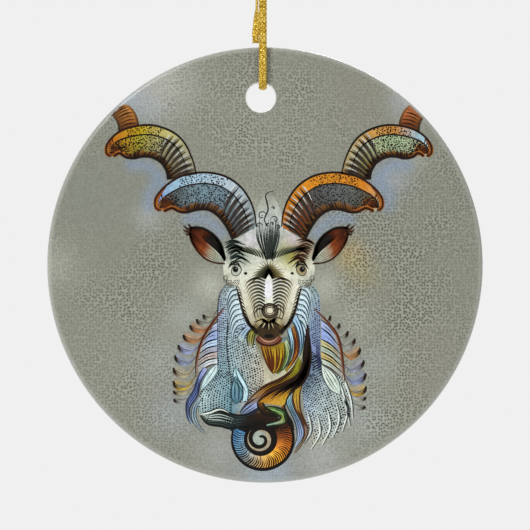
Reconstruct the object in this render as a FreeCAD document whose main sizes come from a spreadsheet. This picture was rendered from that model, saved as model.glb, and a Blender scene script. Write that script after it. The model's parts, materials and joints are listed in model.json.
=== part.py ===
import FreeCAD, Part
import math
import os
import Sketcher

# Round hanging ornament: a printed ceramic disc on a loop of braided gilt cord.
#
# Frame: the origin is the point of a hook on which the cord's loop rests, +Z is up, and the
# printed face looks along -Y. The ornament hangs below the origin. Sizes are in millimetres.

V = FreeCAD.Vector

# Driving dimensions: alias, value, what it is.
DIMENSIONS = [
    ("disc_dia", 73.0, "outer diameter over the coats"),
    ("disc_thick", 3.8, "thickness over both coats"),
    ("rim_round", 0.8, "rounding of both rims, over the coats"),
    ("coat_thick", 0.05, "thickness of the printed coat and of the back glaze"),
    ("disc_shift", 0.37, "centre of the disc to the right of the cord"),
    ("hole_dia", 4.8, "hole for the cord"),
    ("hole_offset", 28.1, "centre of the hole above the centre of the disc"),
    ("hole_shift", 0.7, "centre of the hole to the left of the centre of the disc"),
    ("hole_round", 0.2, "rounding of both edges of the hole"),
    ("cord_dia", 1.3, "diameter of the braided cord"),
    ("cord_gap", 0.1, "free space between the cord and the disc"),
    ("loop_rise", 40.0, "top of the loop's centre line above the rim"),
    ("knot_rise", 10.0, "underside of the knot above the rim"),
    ("knot_tall", 4.0, "height of the knot"),
    ("knot_end_dia", 2.6, "diameter of the knot's flat ends"),
    ("knot_waist_dia", 3.7, "diameter of the knot's waist"),
    ("knot_shift", 0.62, "axis of the knot to the left of the cord's"),
    ("tail_dia", 1.2, "diameter of the two cut ends"),
    ("tail_shift", 1.27, "axis of the cut ends to the left of the cord's"),
    ("long_tail_rise", 0.75, "tip of the long cut end above the rim"),
    ("short_tail_reach", 3.4, "how far the short cut end stands out to the left"),
]

# Expressions over the sheet that more than one sub-part uses.
DISC_RADIUS = "sizes.disc_dia / 2"
HALF_THICK = "sizes.disc_thick / 2"
CORD_RADIUS = "sizes.cord_dia / 2"
TAIL_RADIUS = "sizes.tail_dia / 2"
STRAND_OFFSET = f"({HALF_THICK} + sizes.cord_gap + {CORD_RADIUS})"
BEND_LEVEL = f"({CORD_RADIUS} - {STRAND_OFFSET})"
RIM_LEVEL = f"({CORD_RADIUS} - sizes.loop_rise)"
DISC_LEVEL = f"({RIM_LEVEL} - {DISC_RADIUS})"
HOLE_LEVEL = f"({DISC_LEVEL} + sizes.hole_offset)"
KNOT_LEVEL = f"({RIM_LEVEL} + sizes.knot_rise)"
KNOT_TOP_LEVEL = f"({KNOT_LEVEL} + sizes.knot_tall)"

ORIGIN, X_AXIS, Y_AXIS = -1, -1, -2
START, END, CENTRE = 1, 2, 3


def make_sheet(doc):
    """Makes the spreadsheet that holds every driving dimension under its alias."""
    sheet = doc.addObject("Spreadsheet::Sheet", "sizes")
    for row, (alias, value, meaning) in enumerate(DIMENSIONS, start=1):
        sheet.set(f"A{row}", meaning)
        sheet.set(f"B{row}", str(value))
        sheet.setAlias(f"B{row}", alias)
    doc.recompute()
    return sheet


def number(doc, expression):
    """Gives the number that an expression over the sheet stands for."""
    return float(doc.getObject("sizes").evalExpression(expression))


def origin_feature(body, role):
    """Finds one of a body's own origin planes or axes."""
    return next(item for item in body.Origin.OriginFeatures if item.Role == role)


def new_body(doc, label):
    body = doc.addObject("PartDesign::Body", label)
    body.Label = label
    return body


def new_sketch(body, role, name):
    """Makes a sketch that lies flat on one of the body's origin planes."""
    sketch = body.newObject("Sketcher::SketchObject", name)
    sketch.AttachmentSupport = [(origin_feature(body, role), "")]
    sketch.MapMode = "FlatFace"
    return sketch


def draw_outline(sketch, corners, arc_middles, smooth):
    """Draws a closed outline and joins its edges.

    Edge number n runs from corner n to the next one. arc_middles holds a middle point for each edge
    that is an arc. smooth lists the corners where two edges meet in a tangent. The result is each
    edge's first and last end, as the sketch numbers them.
    """
    count = len(corners)
    ends = []
    for edge, first in enumerate(corners):
        last = corners[(edge + 1) % count]
        if edge in arc_middles:
            sketch.addGeometry(Part.Arc(first, arc_middles[edge], last), False)
        else:
            sketch.addGeometry(Part.LineSegment(first, last), False)
        starts_here = sketch.getPoint(edge, START).distanceToPoint(first) < 1e-6
        ends.append((START, END) if starts_here else (END, START))
    for edge in range(count):
        after = (edge + 1) % count
        kind = "Tangent" if after in smooth else "Coincident"
        sketch.addConstraint(Sketcher.Constraint(kind, edge, ends[edge][1], after, ends[after][0]))
    return ends


def bind(sketch, expression, kind, *where):
    """Adds a sized constraint and binds it to the sheet."""
    size = number(sketch.Document, expression)
    index = sketch.addConstraint(Sketcher.Constraint(kind, *where, size))
    sketch.setExpression(f"Constraints[{index}]", expression)


def finish_sketch(sketch):
    """Stops if the sketch isn't fully and consistently constrained."""
    result = sketch.solve()
    if result != 0 or sketch.FullyConstrained is False:
        raise RuntimeError(f"{sketch.Label} in {sketch.getParentGeoFeatureGroup().Label}: solver {result}")


def revolve(body, sketch):
    """Turns a half section once round the sketch's upright axis."""
    turned = body.newObject("PartDesign::Revolution", "turned")
    turned.Profile = sketch
    turned.ReferenceAxis = (sketch, ["V_Axis"])
    turned.Angle = 360.0
    sketch.Visibility = False
    body.Document.recompute()
    return turned


def cut_hole(body, diameter):
    """Cuts the round hole for the cord right through, and checks that it removed something."""
    doc = body.Document
    sketch = new_sketch(body, "XZ_Plane", "hole_outline")
    centre = V(-number(doc, "sizes.hole_shift"), number(doc, "sizes.hole_offset"), 0)
    sketch.addGeometry(Part.Circle(centre, V(0, 0, 1), number(doc, diameter) / 2), False)
    bind(sketch, "sizes.hole_shift", "DistanceX", 0, CENTRE, ORIGIN, START)
    bind(sketch, "sizes.hole_offset", "DistanceY", ORIGIN, START, 0, CENTRE)
    bind(sketch, diameter, "Diameter", 0)
    finish_sketch(sketch)
    volume_before = body.Shape.Volume
    hole = body.newObject("PartDesign::Pocket", "cord_hole")
    hole.Profile = sketch
    hole.Type = "ThroughAll"
    hole.Midplane = True
    sketch.Visibility = False
    doc.recompute()
    if not body.Shape.Volume < volume_before:
        raise RuntimeError(f"{body.Label}: the hole removed nothing")
    return hole


def make_ceramic_disc(doc):
    """The fired white blank, turned, with rounded rims and a hole with rounded edges."""
    body = new_body(doc, "ceramic_disc")
    body.setExpression("Placement.Base.x", "sizes.disc_shift")
    body.setExpression("Placement.Base.z", DISC_LEVEL)
    sketch = new_sketch(body, "XY_Plane", "half_section")
    reach_size = f"{DISC_RADIUS} - sizes.coat_thick"
    corner_size = "sizes.rim_round - sizes.coat_thick"
    reach = number(doc, reach_size)
    half = number(doc, f"{HALF_THICK} - sizes.coat_thick")
    corner = number(doc, corner_size)
    flat, level = reach - corner, half - corner
    bulge = corner / math.sqrt(2)
    corners = [
        V(0, -half, 0),
        V(flat, -half, 0),
        V(reach, -level, 0),
        V(reach, level, 0),
        V(flat, half, 0),
        V(0, half, 0),
    ]
    middles = {1: V(flat + bulge, -level - bulge, 0), 3: V(flat + bulge, level + bulge, 0)}
    draw_outline(sketch, corners, middles, smooth=(1, 2, 3, 4))
    face, rim, other_face, axis = 0, 2, 4, 5
    sketch.addConstraint(Sketcher.Constraint("Horizontal", face))
    sketch.addConstraint(Sketcher.Constraint("Vertical", rim))
    sketch.addConstraint(Sketcher.Constraint("Horizontal", other_face))
    sketch.addConstraint(Sketcher.Constraint("Equal", 1, 3))
    sketch.addConstraint(Sketcher.Constraint("Symmetric", axis, START, axis, END, ORIGIN, START))
    sketch.addConstraint(Sketcher.Constraint("PointOnObject", axis, START, Y_AXIS))
    bind(sketch, corner_size, "Radius", 1)
    bind(sketch, reach_size, "DistanceX", ORIGIN, START, rim, START)
    bind(sketch, "sizes.disc_thick - 2 * sizes.coat_thick", "Distance", axis)
    finish_sketch(sketch)
    revolve(body, sketch)
    hole = cut_hole(body, "sizes.hole_dia")
    hole_radius = number(doc, "sizes.hole_dia / 2")
    hole_edges = []
    for place, edge in enumerate(hole.Shape.Edges, start=1):
        if isinstance(edge.Curve, Part.Circle) and abs(edge.Curve.Radius - hole_radius) < 1e-6:
            hole_edges.append(f"Edge{place}")
    rounding = body.newObject("PartDesign::Fillet", "hole_rounding")
    rounding.Base = (hole, hole_edges)
    rounding.setExpression("Radius", "sizes.hole_round")
    doc.recompute()
    return body


def make_coat(doc, label, side):
    """A thin skin over one face that wraps round its rim; side is -1 in front and 1 at the back."""
    body = new_body(doc, label)
    body.setExpression("Placement.Base.x", "sizes.disc_shift")
    body.setExpression("Placement.Base.z", DISC_LEVEL)
    sketch = new_sketch(body, "XY_Plane", "skin_section")
    reach = number(doc, DISC_RADIUS)
    half = number(doc, HALF_THICK)
    corner = number(doc, "sizes.rim_round")
    thick = number(doc, "sizes.coat_thick")
    flat, level = reach - corner, half - corner
    outer_bulge = corner / math.sqrt(2)
    inner_bulge = (corner - thick) / math.sqrt(2)
    corners = [
        V(0, side * half, 0),
        V(flat, side * half, 0),
        V(reach, side * level, 0),
        V(reach - thick, side * level, 0),
        V(flat, side * (half - thick), 0),
        V(0, side * (half - thick), 0),
    ]
    middles = {
        1: V(flat + outer_bulge, side * (level + outer_bulge), 0),
        3: V(flat + inner_bulge, side * (level + inner_bulge), 0),
    }
    ends = draw_outline(sketch, corners, middles, smooth=(1, 4))
    face, lip, underside, axis = 0, 2, 4, 5
    for edge in (face, lip, underside):
        sketch.addConstraint(Sketcher.Constraint("Horizontal", edge))
    sketch.addConstraint(Sketcher.Constraint("Vertical", axis))
    sketch.addConstraint(Sketcher.Constraint("PointOnObject", axis, START, Y_AXIS))
    sketch.addConstraint(Sketcher.Constraint("Coincident", 1, CENTRE, 3, CENTRE))
    sketch.addConstraint(Sketcher.Constraint("Horizontal", 1, CENTRE, 1, ends[1][1]))
    bind(sketch, "sizes.rim_round", "Radius", 1)
    bind(sketch, "sizes.coat_thick", "Distance", axis)
    bind(sketch, DISC_RADIUS, "DistanceX", ORIGIN, START, lip, START)
    if side > 0:
        bind(sketch, HALF_THICK, "DistanceY", ORIGIN, START, face, START)
    else:
        bind(sketch, HALF_THICK, "DistanceY", face, START, ORIGIN, START)
    finish_sketch(sketch)
    revolve(body, sketch)
    cut_hole(body, "sizes.hole_dia + 2 * sizes.hole_round")
    return body


def rounded_corner(corner, arriving, leaving, radius):
    """Gives the first, middle and last point of the arc that rounds a square corner of a route."""
    first = corner - arriving * radius
    last = corner + leaving * radius
    centre = first + leaving * radius
    middle = centre + (corner - centre) / math.sqrt(2)
    return first, middle, last


def tube(doc, label, edges, radius):
    """A round tube along straight runs and tangent arcs, checked against its section and length."""
    spine = Part.Wire([edge.toShape() for edge in edges])
    first = spine.Edges[0]
    start = first.valueAt(first.FirstParameter)
    direction = first.tangentAt(first.FirstParameter)
    ring = Part.Wire([Part.makeCircle(radius, start, direction)])
    solid = spine.makePipeShell([ring], True, False)
    expected = math.pi * radius**2 * spine.Length
    if abs(solid.Volume - expected) > 0.01 * expected:
        raise RuntimeError(f"{label}: volume {solid.Volume:.3f}, where {expected:.3f} was expected")
    print(f"{label}: {spine.Length:.1f} mm long, volume {solid.Volume:.3f} of {expected:.3f} mm3")
    feature = doc.addObject("Part::Feature", label)
    feature.Label = label
    feature.Shape = solid
    return feature


def straight_piece(doc, label, radius, length, place):
    """An upright round stretch of cord, bound to the sheet; place holds its foot's expressions."""
    piece = doc.addObject("Part::Cylinder", label)
    piece.Label = label
    piece.setExpression("Radius", radius)
    piece.setExpression("Height", length)
    for axis, expression in place.items():
        piece.setExpression(f"Placement.Base.{axis}", expression)
    return piece


def make_top_bend(doc):
    """The half turn of cord that lies over the hook."""
    bend = doc.addObject("Part::Torus", "cord_top_bend")
    bend.Label = "cord_top_bend"
    bend.setExpression("Radius1", STRAND_OFFSET)
    bend.setExpression("Radius2", CORD_RADIUS)
    bend.Angle3 = 180.0
    axis_z_to_x = FreeCAD.Rotation(V(1, 1, 1), 120)
    bend.Placement = FreeCAD.Placement(V(0, 0, 0), axis_z_to_x)
    bend.setExpression("Placement.Base.z", BEND_LEVEL)
    print(f"cord_top_bend: radius {number(doc, STRAND_OFFSET):.2f} mm over the hook")
    return bend


def make_main_run(doc):
    """The cord from the top bend down the front, through the hole and up the back to the knot."""
    offset = number(doc, STRAND_OFFSET)
    top = number(doc, BEND_LEVEL)
    knot = number(doc, KNOT_LEVEL)
    level = number(doc, f"{HOLE_LEVEL} + sizes.hole_dia / 2 - sizes.cord_gap - {CORD_RADIUS}")
    radius = number(doc, f"sizes.hole_round + sizes.cord_gap + {CORD_RADIUS}")
    down, backwards, up = V(0, 0, -1), V(0, 1, 0), V(0, 0, 1)
    front = rounded_corner(V(0, -offset, level), down, backwards, radius)
    back = rounded_corner(V(0, offset, level), backwards, up, radius)
    edges = [
        Part.LineSegment(V(0, -offset, top), front[0]),
        Part.Arc(*front),
        Part.LineSegment(front[2], back[0]),
        Part.Arc(*back),
        Part.LineSegment(back[2], V(0, offset, knot)),
    ]
    print(f"cord_main_run: radius {radius:.2f} mm round each edge of the hole")
    return tube(doc, "cord_main_run", edges, number(doc, CORD_RADIUS))


def make_back_run(doc):
    """The straight stretch from the knot up to the top bend."""
    return straight_piece(
        doc,
        "cord_back_run",
        CORD_RADIUS,
        f"{BEND_LEVEL} - {KNOT_TOP_LEVEL}",
        {"y": STRAND_OFFSET, "z": KNOT_TOP_LEVEL},
    )


def make_knot(doc):
    """The overhand knot's outer shape: a barrel whose flat ends meet the strands and cut ends."""
    body = new_body(doc, "cord_knot")
    sketch = new_sketch(body, "XZ_Plane", "half_barrel")
    tall = number(doc, "sizes.knot_tall")
    end = number(doc, "sizes.knot_end_dia / 2")
    waist = number(doc, "sizes.knot_waist_dia / 2")
    corners = [V(0, 0, 0), V(end, 0, 0), V(end, tall, 0), V(0, tall, 0)]
    draw_outline(sketch, corners, {1: V(waist, tall / 2, 0)}, smooth=())
    foot, side, top, axis = 0, 1, 2, 3
    sketch.addConstraint(Sketcher.Constraint("Coincident", foot, START, ORIGIN, START))
    sketch.addConstraint(Sketcher.Constraint("Horizontal", foot))
    sketch.addConstraint(Sketcher.Constraint("Horizontal", top))
    sketch.addConstraint(Sketcher.Constraint("Vertical", axis))
    sketch.addConstraint(Sketcher.Constraint("Equal", foot, top))
    bind(sketch, "sizes.knot_end_dia / 2", "Distance", foot)
    bind(sketch, "sizes.knot_tall", "Distance", axis)
    swell = "(sizes.knot_waist_dia - sizes.knot_end_dia)"
    bind(sketch, f"({swell}^2 + sizes.knot_tall^2) / (4 * {swell})", "Radius", side)
    finish_sketch(sketch)
    revolve(body, sketch)
    body.setExpression("Placement.Base.x", "-sizes.knot_shift")
    body.setExpression("Placement.Base.y", STRAND_OFFSET)
    body.setExpression("Placement.Base.z", KNOT_LEVEL)
    return body


def make_long_tail(doc):
    """The cut end that hangs from the knot beside the cord, down to just above the rim."""
    return straight_piece(
        doc,
        "cord_long_tail",
        TAIL_RADIUS,
        "sizes.knot_rise - sizes.long_tail_rise",
        {
            "x": "-sizes.tail_shift",
            "y": STRAND_OFFSET,
            "z": f"{RIM_LEVEL} + sizes.long_tail_rise",
        },
    )


def make_short_tail(doc):
    """The other cut end: it leaves the knot upwards and bends over to the left."""
    radius = number(doc, TAIL_RADIUS)
    shift = number(doc, "sizes.tail_shift")
    reach = number(doc, "sizes.short_tail_reach")
    foot = V(-shift, number(doc, STRAND_OFFSET), number(doc, KNOT_TOP_LEVEL))
    up, left = V(0, 0, 1), V(-1, 0, 0)
    fold_radius = 2 * radius
    corner = foot + up * (fold_radius + radius)
    fold = rounded_corner(corner, up, left, fold_radius)
    edges = [
        Part.LineSegment(foot, fold[0]),
        Part.Arc(*fold),
        Part.LineSegment(fold[2], corner + left * reach),
    ]
    print(f"cord_short_tail: radius {fold_radius:.2f} mm where it folds out of the knot")
    return tube(doc, "cord_short_tail", edges, radius)


def check_document(doc, parts):
    """Stops if an object didn't recompute or a sub-part has no sound solid."""
    for item in doc.Objects:
        if "Invalid" in item.State or "Error" in item.State:
            raise RuntimeError(f"{item.Name} is {item.State}")
    for part in parts:
        if part.Shape.isNull() or not part.Shape.isValid() or len(part.Shape.Solids) != 1:
            raise RuntimeError(f"{part.Label} isn't one sound solid")


def main():
    doc = FreeCAD.newDocument("hanging_ornament")
    make_sheet(doc)
    parts = [
        make_ceramic_disc(doc),
        make_coat(doc, "front_print", -1),
        make_coat(doc, "back_glaze", 1),
        make_top_bend(doc),
        make_main_run(doc),
        make_back_run(doc),
        make_knot(doc),
        make_long_tail(doc),
        make_short_tail(doc),
    ]
    doc.recompute()
    check_document(doc, parts)
    os.makedirs("parts", exist_ok=True)
    for part in parts:
        part.Shape.exportStep(f"parts/{part.Label}.step")
        box = part.Shape.BoundBox
        print(
            f"{part.Label}: x {box.XMin:.2f} to {box.XMax:.2f}, y {box.YMin:.2f} to {box.YMax:.2f},"
            f" z {box.ZMin:.2f} to {box.ZMax:.2f}, volume {part.Shape.Volume:.3f}"
        )


main()
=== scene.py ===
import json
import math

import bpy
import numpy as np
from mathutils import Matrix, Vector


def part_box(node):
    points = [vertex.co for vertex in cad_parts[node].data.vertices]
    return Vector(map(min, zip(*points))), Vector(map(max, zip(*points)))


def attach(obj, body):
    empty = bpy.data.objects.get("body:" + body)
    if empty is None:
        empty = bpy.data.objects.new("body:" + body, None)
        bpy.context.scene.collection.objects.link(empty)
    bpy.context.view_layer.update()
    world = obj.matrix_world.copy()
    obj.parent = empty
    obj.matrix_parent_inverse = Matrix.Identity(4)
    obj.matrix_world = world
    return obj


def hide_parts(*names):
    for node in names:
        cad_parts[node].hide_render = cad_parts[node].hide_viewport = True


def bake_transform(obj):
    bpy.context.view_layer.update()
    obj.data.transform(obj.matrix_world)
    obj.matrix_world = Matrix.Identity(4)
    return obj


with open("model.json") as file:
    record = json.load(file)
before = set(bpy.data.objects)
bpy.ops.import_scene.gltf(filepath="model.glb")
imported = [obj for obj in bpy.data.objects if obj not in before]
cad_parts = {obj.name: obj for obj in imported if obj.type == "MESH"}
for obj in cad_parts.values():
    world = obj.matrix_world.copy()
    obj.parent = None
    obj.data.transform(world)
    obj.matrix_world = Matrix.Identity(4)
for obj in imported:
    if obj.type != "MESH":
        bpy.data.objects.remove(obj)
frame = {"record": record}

# %% [markdown]
# # A printed ceramic ornament on a gilt cord
#
# The object is a flat round tile of white earthenware, glazed, with a picture printed on its front,
# and a loop of braided gold yarn that passes through a hole near its rim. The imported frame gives
# every size and place that matters, so this lesson starts by reading them. The rest is made in mesh
# code: bodies of revolution for the tile, ribbons and patches of ink for the picture, and a real
# braid of strands for the cord.

MM = 0.001
rng = np.random.default_rng(7)
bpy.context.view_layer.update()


def box_corners(node):
    """The low and the high corner of a piece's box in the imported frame."""
    return [np.array(corner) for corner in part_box(node)]


print_low, print_high = box_corners("front_print")
DISC_RADIUS = (print_high[0] - print_low[0]) / 2
DISC_SIDE = (print_high[0] + print_low[0]) / 2
DISC_HEIGHT = (print_high[2] + print_low[2]) / 2
FRONT_FACE = print_low[1]
BACK_FACE = box_corners("back_glaze")[1][1]
RIM_ROUND = print_high[1] - print_low[1]
joint_places = {joint["name"]: joint["pos_m"] for joint in frame["record"]["behaviour"]["joints"]}
HOLE_SIDE, _, HOLE_HEIGHT = joint_places["disc_swing"]
HOLE_RADIUS = 2.4 * MM
HOLE_ROUND = 0.2 * MM
print(f"disc radius {DISC_RADIUS / MM:.2f} mm, centre at {DISC_HEIGHT / MM:.2f} mm")
print(f"hole {(HOLE_HEIGHT - DISC_HEIGHT) / MM:.2f} mm above the centre")

# %% [markdown]
# ## Camera and cord first
#
# A long lens from far away shows the tile as a true circle and hides the wall of its hole, so the
# camera stands well back and looks level at the middle of the tile. The cord's line is one NURBS
# curve through a few given points: it starts in the knot behind the tile, rises to the
# top of the loop, comes down in front, dives through the hole and climbs back to the knot. Near
# the two tight places the points stand close together, because the curve cuts inside its corners.

# %% Camera
VIEW_WIDTH = 88.8 * MM
CAMERA_DISTANCE = 1.5
SENSOR_WIDTH = 36.0
camera_data = bpy.data.cameras.new("camera")
camera = bpy.data.objects.new("camera", camera_data)
bpy.context.scene.collection.objects.link(camera)
camera.location = (DISC_SIDE, -CAMERA_DISTANCE, DISC_HEIGHT)
camera.rotation_euler = (math.pi / 2, 0.0, 0.0)
camera_data.sensor_width = SENSOR_WIDTH
camera_data.lens = SENSOR_WIDTH * (CAMERA_DISTANCE + FRONT_FACE) / VIEW_WIDTH
camera_data.clip_start = 0.01
camera_data.clip_end = 10.0
bpy.context.scene.camera = camera
print(f"lens {camera_data.lens:.0f} mm for a view {VIEW_WIDTH / MM:.1f} mm wide")

# %% The cord's line
knot_low, knot_high = box_corners("cord_knot")
CORD_OFFSET = sum(box_corners("cord_back_run"))[1] / 2
BEND_LEVEL = box_corners("cord_top_bend")[0][2]
LOOP_TOP = BEND_LEVEL + CORD_OFFSET
KNOT_FOOT, KNOT_TOP = knot_low[2], knot_high[2]
CORD_WIDTH = 1.4 * MM
CORD_THICK = 1.0 * MM
BRIDGE = HOLE_HEIGHT + HOLE_RADIUS


def new_spline(name, points):
    """A NURBS spline that uses the points as its control points."""
    data = bpy.data.curves.new(name, "CURVE")
    data.dimensions = "3D"
    data.resolution_u = 24
    spline = data.splines.new("NURBS")
    spline.points.add(len(points) - 1)
    for place, point in zip(spline.points, points):
        place.co = (*point, 1.0)
    spline.order_u = 3
    spline.use_endpoint_u = True
    return bpy.data.objects.new(name, data)


def curve_points(name, points):
    """The points along a spline, read from its mesh and spaced evenly."""
    guide = new_spline(name, points)
    mesh = bpy.data.meshes.new_from_object(guide)
    line = np.array([vertex.co[:] for vertex in mesh.vertices])
    bpy.data.objects.remove(guide)
    bpy.data.meshes.remove(mesh)
    return line


def lengths_along(line):
    """The distance from a line's start to each of its points."""
    return np.concatenate([[0.0], np.cumsum(np.linalg.norm(np.diff(line, axis=0), axis=1))])


def spaced(line, step):
    """The same line with points a set step apart."""
    along = lengths_along(line)
    count = max(2, int(round(along[-1] / step)) + 1)
    wanted = np.linspace(0.0, along[-1], count)
    return np.stack([np.interp(wanted, along, line[:, axis]) for axis in range(3)], axis=1)


loop_points = [
    (0.0, CORD_OFFSET, KNOT_TOP), (0.0, CORD_OFFSET, BEND_LEVEL - CORD_OFFSET),
    (0.0, CORD_OFFSET, LOOP_TOP), (0.0, -CORD_OFFSET, LOOP_TOP),
    (0.0, -CORD_OFFSET, BEND_LEVEL - CORD_OFFSET), (0.0, -CORD_OFFSET, BRIDGE + 8.0 * MM),
    (0.0, -CORD_OFFSET, BRIDGE + 0.7 * MM), (0.0, -2.3 * MM, BRIDGE - 0.7 * MM),
    (0.0, 2.3 * MM, BRIDGE - 0.7 * MM), (0.0, CORD_OFFSET, BRIDGE + 0.7 * MM),
    (0.0, CORD_OFFSET, BRIDGE + 8.0 * MM), (0.0, CORD_OFFSET, KNOT_FOOT),
]
loop_line = spaced(curve_points("cord_route", loop_points), 0.12 * MM)

# %% [markdown]
# ## Colours and node helpers
#
# Colours are written as sRGB hex values, which is how a maker would pick them from a chart, and one
# function turns them to the linear values that shaders need. Another small function adds a shader
# node with its settings and links, so that each material below reads as a list of its layers.

# %% Helpers for colours and shader nodes


def linear(hex_colour):
    """An sRGB hex colour as linear red, green and blue."""
    values = [int(hex_colour[place:place + 2], 16) / 255 for place in (1, 3, 5)]
    return np.array([v / 12.92 if v <= 0.04045 else ((v + 0.055) / 1.055) ** 2.4 for v in values])


def rgba(hex_colour):
    return (*linear(hex_colour), 1.0)


def add_node(tree, kind, settings=None, values=None, links=None):
    """Adds a node: settings are its properties, values its unlinked inputs, links its inputs' sources."""
    node = tree.nodes.new(kind)
    for name, value in (settings or {}).items():
        setattr(node, name, value)
    for name, value in (values or {}).items():
        node.inputs[name].default_value = value
    for name, source in (links or {}).items():
        tree.links.new(source, node.inputs[name])
    return node


def new_material(name, **shader_values):
    """A material with one Principled shader, and that shader, whose inputs are set by name."""
    material = bpy.data.materials.new(name)
    material.use_nodes = True
    shader = material.node_tree.nodes["Principled BSDF"]
    for socket, value in shader_values.items():
        shader.inputs[socket.replace("_", " ")].default_value = value
    return material, material.node_tree, shader


def spread(spacing_mm):
    """A texture's scale for cells of that real size."""
    return 1.0 / (spacing_mm * MM)


# %% [markdown]
# ## White earthenware under glaze
#
# The blank is slip-cast or pressed earthenware, fired white, with a clear glaze. What the eye gets
# is a bright, slightly warm white, a soft gloss that rounds the rim with one highlight, and a very
# faint waviness where the glaze pooled. A Principled shader with a glaze-like IOR of 1.5 and a
# low roughness gives that, and a wide, shallow noise bump gives the waviness.

# %% Glazed earthenware material
glaze, tree, shader = new_material(
    "glazed_white_earthenware", Base_Color=rgba("#F2F1EE"), Roughness=0.22, IOR=1.5,
    Subsurface_Weight=0.05, Subsurface_Scale=0.4 * MM,
)
coordinates = add_node(tree, "ShaderNodeTexCoord")
pooling = add_node(
    tree, "ShaderNodeTexNoise", values={"Scale": spread(6.0), "Detail": 2.0},
    links={"Vector": coordinates.outputs["Object"]},
)
warmth = add_node(tree, "ShaderNodeValToRGB", links={"Fac": pooling.outputs["Fac"]})
warmth.color_ramp.elements[0].color = rgba("#ECEAE5")
warmth.color_ramp.elements[1].color = rgba("#F7F7F5")
waviness = add_node(
    tree, "ShaderNodeBump", values={"Strength": 0.05, "Distance": 0.05 * MM},
    links={"Height": pooling.outputs["Fac"]},
)
tree.links.new(warmth.outputs["Color"], shader.inputs["Base Color"])
tree.links.new(waviness.outputs["Normal"], shader.inputs["Normal"])
print("material:", glaze.name)

# %% [markdown]
# ## The tile: circles joined into a skin
#
# A round tile with an off-centre hole could be cut with a boolean, but booleans leave long thin
# faces that catch the light badly. Here each skin is a stack of circles instead. A circle may have
# any centre height, radius and depth, and the circles between the hole and the rim drift from one
# centre to the other, so the faces stay even all over the tile.

# %% Mesh helpers


def grid_faces(rows, columns, closed=False):
    """Four-sided faces between rows of points; closed joins each row's end to its start."""
    grid = np.arange(rows * columns).reshape(rows, columns)
    if closed:
        grid = np.hstack([grid, grid[:, :1]])
    quads = np.stack([grid[:-1, :-1], grid[:-1, 1:], grid[1:, 1:], grid[1:, :-1]], axis=-1)
    return [tuple(quad) for quad in quads.reshape(-1, 4).tolist()]


def mesh_piece(name, points, faces, *materials):
    """A mesh object in the scene, from its corner points, faces and materials."""
    mesh = bpy.data.meshes.new(name)
    mesh.from_pydata(np.asarray(points).tolist(), [], faces)
    for material in materials:
        mesh.materials.append(material)
    piece = bpy.data.objects.new(name, mesh)
    bpy.context.scene.collection.objects.link(piece)
    return piece


# %% Skins made of circles


def circle_skin(name, rings, segments):
    """A skin through a list of circles, each given as (centre's side and height, radius, depth)."""
    angles = np.linspace(0.0, 2 * math.pi, segments, endpoint=False)
    points = []
    for sideways, height, radius, depth in rings:
        across, up = sideways + radius * np.sin(angles), height + radius * np.cos(angles)
        ring = np.stack([across, np.full(segments, depth), up], axis=1)
        points.append(ring)
    faces = grid_faces(len(rings), segments, closed=True)
    piece = mesh_piece(name, np.concatenate(points), faces)
    piece.data.shade_smooth()
    return piece


def quarter(count):
    """Angles that share a right angle evenly."""
    return np.linspace(0.0, math.pi / 2, count)


def face_rings(depth, inset, count):
    """Circles of a flat face, from the hole's edge to the rim's rounding."""
    rings = []
    for share in np.linspace(0.0, 1.0, count):
        sideways = HOLE_SIDE + (DISC_SIDE - HOLE_SIDE) * share
        height = HOLE_HEIGHT + (DISC_HEIGHT - HOLE_HEIGHT) * share
        inner = HOLE_RADIUS + HOLE_ROUND
        radius = inner + (DISC_RADIUS - inset - inner) * share
        rings.append((sideways, height, radius, depth))
    return rings


def rim_rings(depth, outward, radius, rounding, count=9):
    """Circles of the rim's rounding, from the flat face towards the tile's middle."""
    rings = []
    for angle in quarter(count)[1:]:
        reach = radius - rounding * (1 - math.sin(angle))
        lowered = depth - outward * rounding * (1 - math.cos(angle))
        rings.append((DISC_SIDE, DISC_HEIGHT, reach, lowered))
    return rings


def hole_rings(depth, outward, count=6):
    """Circles of the hole's rounded edge, from the wall out to the flat face."""
    rings = []
    for angle in quarter(count):
        radius = HOLE_RADIUS + HOLE_ROUND * (1 - math.cos(angle))
        lowered = depth - outward * HOLE_ROUND * (1 - math.sin(angle))
        rings.append((HOLE_SIDE, HOLE_HEIGHT, radius, lowered))
    return rings


# %% The blank, its back glaze and the printed coat
COAT = 0.05 * MM
blank_front, blank_back = FRONT_FACE + COAT, BACK_FACE - COAT
blank_radius = DISC_RADIUS - COAT
blank_rings = (
    hole_rings(blank_front, -1)
    + face_rings(blank_front, RIM_ROUND, 20)[1:]
    + rim_rings(blank_front, -1, blank_radius, RIM_ROUND - COAT)
    + rim_rings(blank_back, 1, blank_radius, RIM_ROUND - COAT)[::-1]
    + face_rings(blank_back, RIM_ROUND, 20)[::-1][:-1]
    + hole_rings(blank_back, 1)[::-1]
)
blank_rings.append(blank_rings[0])
blank = circle_skin("ceramic_blank", blank_rings, 256)
blank.data.materials.append(glaze)
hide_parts("ceramic_disc")

back_rings = face_rings(BACK_FACE, RIM_ROUND, 40) + rim_rings(BACK_FACE, 1, DISC_RADIUS, RIM_ROUND)
back_skin = circle_skin("back_glaze_skin", back_rings, 256)
back_skin.data.materials.append(glaze)
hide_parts("back_glaze")

front_rings = face_rings(FRONT_FACE, RIM_ROUND, 150) + rim_rings(FRONT_FACE, -1, DISC_RADIUS, RIM_ROUND)
front_skin = circle_skin("printed_coat", front_rings, 420)
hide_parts("front_print")
for piece in (blank, back_skin, front_skin):
    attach(piece, "ornament")
print(f"printed coat: {len(front_skin.data.polygons)} faces")

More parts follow.
